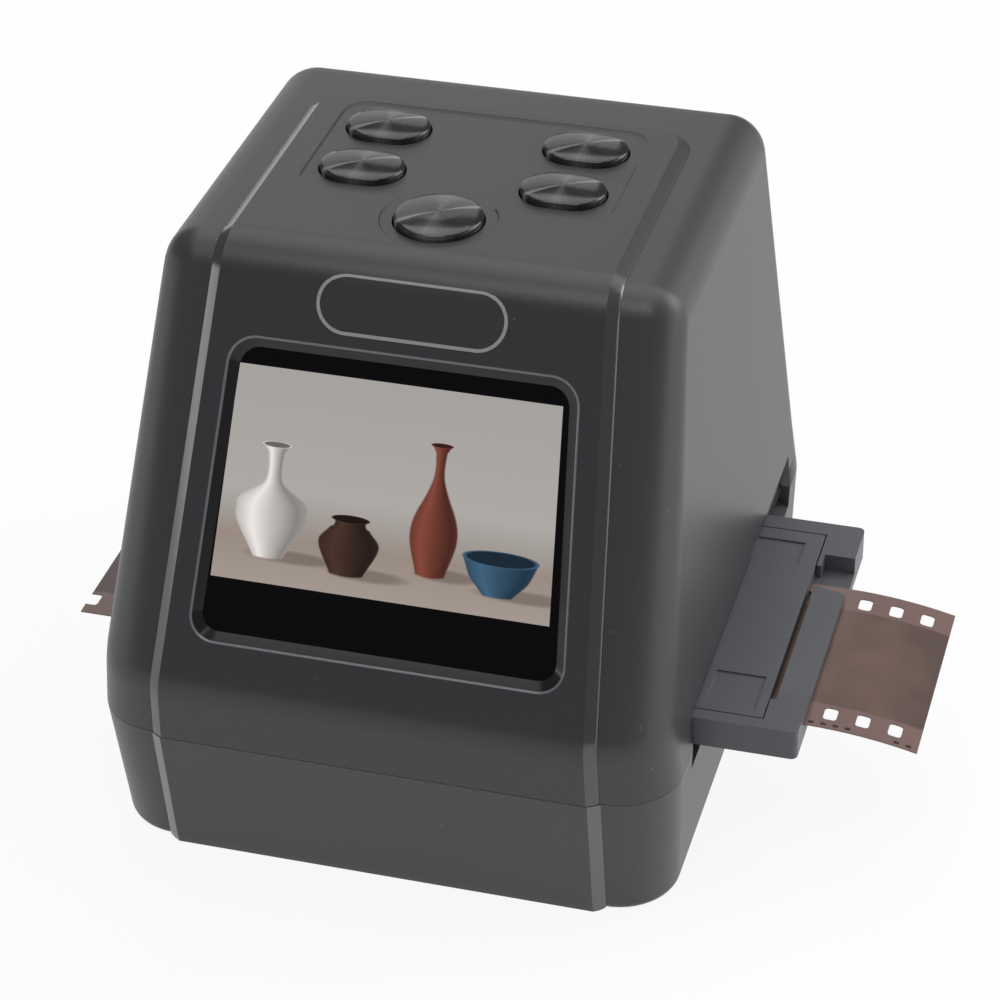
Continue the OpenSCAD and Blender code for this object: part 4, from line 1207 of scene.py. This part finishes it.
def film_material():
    material, tree, shader, where = new_material("Film")
    x, y = split_position(tree, where)
    phase = calc(tree, "FRACT", calc(tree, "MULTIPLY_ADD", x, 1000 / FRAME_PITCH, FRAME_START))
    in_frame = calc(tree, "LESS_THAN", distance(tree, phase, 0.5), FRAME_SHARE)
    middle = calc(tree, "MULTIPLY_ADD", y, 1000.0, -FILM_Y)
    in_rows = calc(tree, "LESS_THAN", calc(tree, "ABSOLUTE", middle), FRAME_ROWS)
    in_picture = calc(tree, "MULTIPLY", in_frame, in_rows)
    exposed = ramp(tree, noise(tree, where, 70), EXPOSED)
    tone = blended(tree, in_picture, srgb(BORDER_CODE), exposed)
    tick = calc(tree, "FRACT", calc(tree, "MULTIPLY", x, TICKS_PER_METRE))
    from_row = calc(tree, "ABSOLUTE", calc(tree, "ADD", middle, TICK_ROW))
    edge = calc(tree, "LESS_THAN", from_row, TICK_HALF)
    sparse = calc(tree, "GREATER_THAN", noise(tree, where, 130), 0.52)
    marks = calc(tree, "MULTIPLY", calc(tree, "LESS_THAN", tick, TICK_SHARE), edge)
    marks = calc(tree, "MULTIPLY", marks, sparse)
    tone = blended(tree, marks, tone, srgb(TICK_CODE))
    tree.links.new(tone, shader.inputs["Base Color"])
    shader.inputs["Roughness"].default_value = 0.2
    shader.inputs["Alpha"].default_value = 0.9
    return material


film_base = film_material()
paint(film, film_base)

# %% [markdown]
# The inner pieces and the sockets stay as the CAD model has them and only get a finish. Each CAD
# node names a material slot in the record, so one table serves them all.

# %% Finishes of the remaining CAD nodes
def metal(name, code, roughness):
    material = plastic(name, code, roughness, grain=0.08, scale=500)
    material.node_tree.nodes["Principled BSDF"].inputs["Metallic"].default_value = 1
    return material


finishes = {
    "steel": metal("Steel", "#b8b8ba", 0.28),
    "circuit_board": plastic("Circuit board", "#1c5a34", 0.35, grain=0.3, scale=300),
    "white_plastic": plastic("White plastic", "#d8d8d2", 0.5),
    "opal_plastic": plastic("Opal plastic", "#e8e8e2", 0.6),
    "led_phosphor": plastic("LED phosphor", "#f0dc80", 0.4),
    "flex_cable": plastic("Flat cable", "#8a5a20", 0.3, scale=200),
    "rubber": plastic("Rubber", "#19191a", 0.8, bump=0.2),
    "lens_glass": plastic("Lens glass", "#7a98a8", 0.05),
    "lcd_glass": plastic("Display glass", "#20222a", 0.1),
    "black_plastic": black_plastic, "tray_plastic": tray_plastic, "button_plastic": black_plastic,
    "shell_plastic": shell_plastic, "cover_plastic": cover_plastic,
    "window_plastic": black_plastic, "film_base": film_base,
}
for part in frame["record"]["subparts"]:
    paint(frame["nodes"][part["node"]], finishes[part["material_slot"]])

# %% [markdown]
# The floor is plain and pale. Lit by lamps alone it would never look evenly white, so to the
# camera and in reflections it shows itself mostly as a plain glow, and only a faint shadow of the
# scanner stays. The light that it throws on the scanner isn't changed.

# %% Floor
FLOOR_SIZE, FLOOR_DROP = 6, -0.00005
FLOOR_GLOW = 0.9
bpy.ops.object.select_all(action="DESELECT")
bpy.ops.mesh.primitive_plane_add(size=FLOOR_SIZE, location=(0, 0, FLOOR_DROP))
floor = bpy.context.object
floor.name = "Floor"
floor_material = plastic("Floor", "#f4f4f4", 0.8, grain=0.005, scale=20)
tree = floor_material.node_tree
path = tree.nodes.new("ShaderNodeLightPath")
seen = calc(tree, "MAXIMUM", path.outputs["Is Camera Ray"], calc(
    tree, "MAXIMUM", path.outputs["Is Glossy Ray"], path.outputs["Is Transmission Ray"]))
glow = tree.nodes.new("ShaderNodeEmission")
mixer = tree.nodes.new("ShaderNodeMixShader")
tree.links.new(calc(tree, "MULTIPLY", seen, FLOOR_GLOW), mixer.inputs[0])
tree.links.new(tree.nodes["Principled BSDF"].outputs[0], mixer.inputs[1])
tree.links.new(glow.outputs[0], mixer.inputs[2])
tree.links.new(mixer.outputs[0], tree.nodes["Material Output"].inputs["Surface"])
paint(floor, floor_material)

# %% [markdown]
# Eight soft boxes light the scanner. The large ones above and in front set the tone of the top
# and the slope, those at the right brighten the right side, and the weak ones low on the left and
# behind make the thin lights on the chamfers. An even, dim world fills the shadows.

# %% Lamps and world
MIDDLE, CHAMFER_AIM = (0, 0, 0.05), (0, 0, 0.06)
WORLD_LEVEL = 0.15
LAMPS = (
    # name, place, aim, size, power
    ("Top softbox", (0.0, 0.25, 0.8), MIDDLE, (0.9, 0.7), 3.7),
    ("Front softbox", (0.0, -0.45, 0.85), MIDDLE, (0.6, 0.4), 2.5),
    ("Right softbox", (0.8, 0.15, 0.32), MIDDLE, (0.6, 0.6), 0.9),
    ("Rear softbox", (0.7, 0.48, 0.5), MIDDLE, (0.55, 0.6), 4.0),
    ("Low softbox", (0.8, -0.1, 0.12), MIDDLE, (0.5, 0.2), 0.5),
    ("Back softbox", (-0.35, 0.9, 0.45), MIDDLE, (0.6, 0.5), 0.8),
    ("Left softbox", (-0.88, -0.24, 0.075), CHAMFER_AIM, (0.5, 0.13), 0.42),
    ("Rear left softbox", (-0.55, 0.75, 0.13), CHAMFER_AIM, (0.4, 0.15), 0.2),
)


def lamp(name, place, aim, size, power):
    bpy.ops.object.light_add(type="AREA", location=place)
    light = bpy.context.object
    light.name = name
    light.data.shape = "RECTANGLE"
    light.data.size, light.data.size_y = size
    light.data.energy = power
    direction = [aim[i] - place[i] for i in range(3)]
    length = math.sqrt(sum(c * c for c in direction))
    yaw = math.atan2(direction[1], direction[0]) - math.pi / 2
    pitch = math.acos(-direction[2] / length)
    light.rotation_euler = (pitch, 0, yaw)


for row in LAMPS:
    lamp(*row)
world = bpy.data.worlds.new("Studio")
bpy.context.scene.world = world
world.use_nodes = True
background = world.node_tree.nodes["Background"]
background.inputs["Color"].default_value = (1, 1, 1, 1)
background.inputs["Strength"].default_value = WORLD_LEVEL
bpy.context.scene.view_settings.view_transform = "Standard"
print(len(LAMPS), "lamps")

# %% [markdown]
# The camera stands where that of the photograph stood. Its place, turn and focal length were
# fitted to the edges of the body there.

# %% Camera
from mathutils import Matrix

CAMERA_PLACE = (0.1215010, -0.4103533, 0.3178592)
CAMERA_RIGHT = (0.96363, 0.26700, -0.01123)
CAMERA_UP = (-0.13838, 0.53447, 0.83378)
CAMERA_BACK = (0.22862, -0.80190, 0.55198)
FOCAL_LENGTH, SENSOR_WIDTH, NEAREST = 119.86, 36, 0.01
bpy.ops.object.camera_add(location=CAMERA_PLACE)
camera = bpy.context.object
turn = Matrix((CAMERA_RIGHT, CAMERA_UP, CAMERA_BACK)).transposed()
camera.rotation_euler = turn.to_euler()
camera.data.sensor_width = SENSOR_WIDTH
camera.data.lens = FOCAL_LENGTH
camera.data.clip_start = NEAREST
bpy.context.scene.camera = camera
print("camera with a focal length of", FOCAL_LENGTH, "mm")
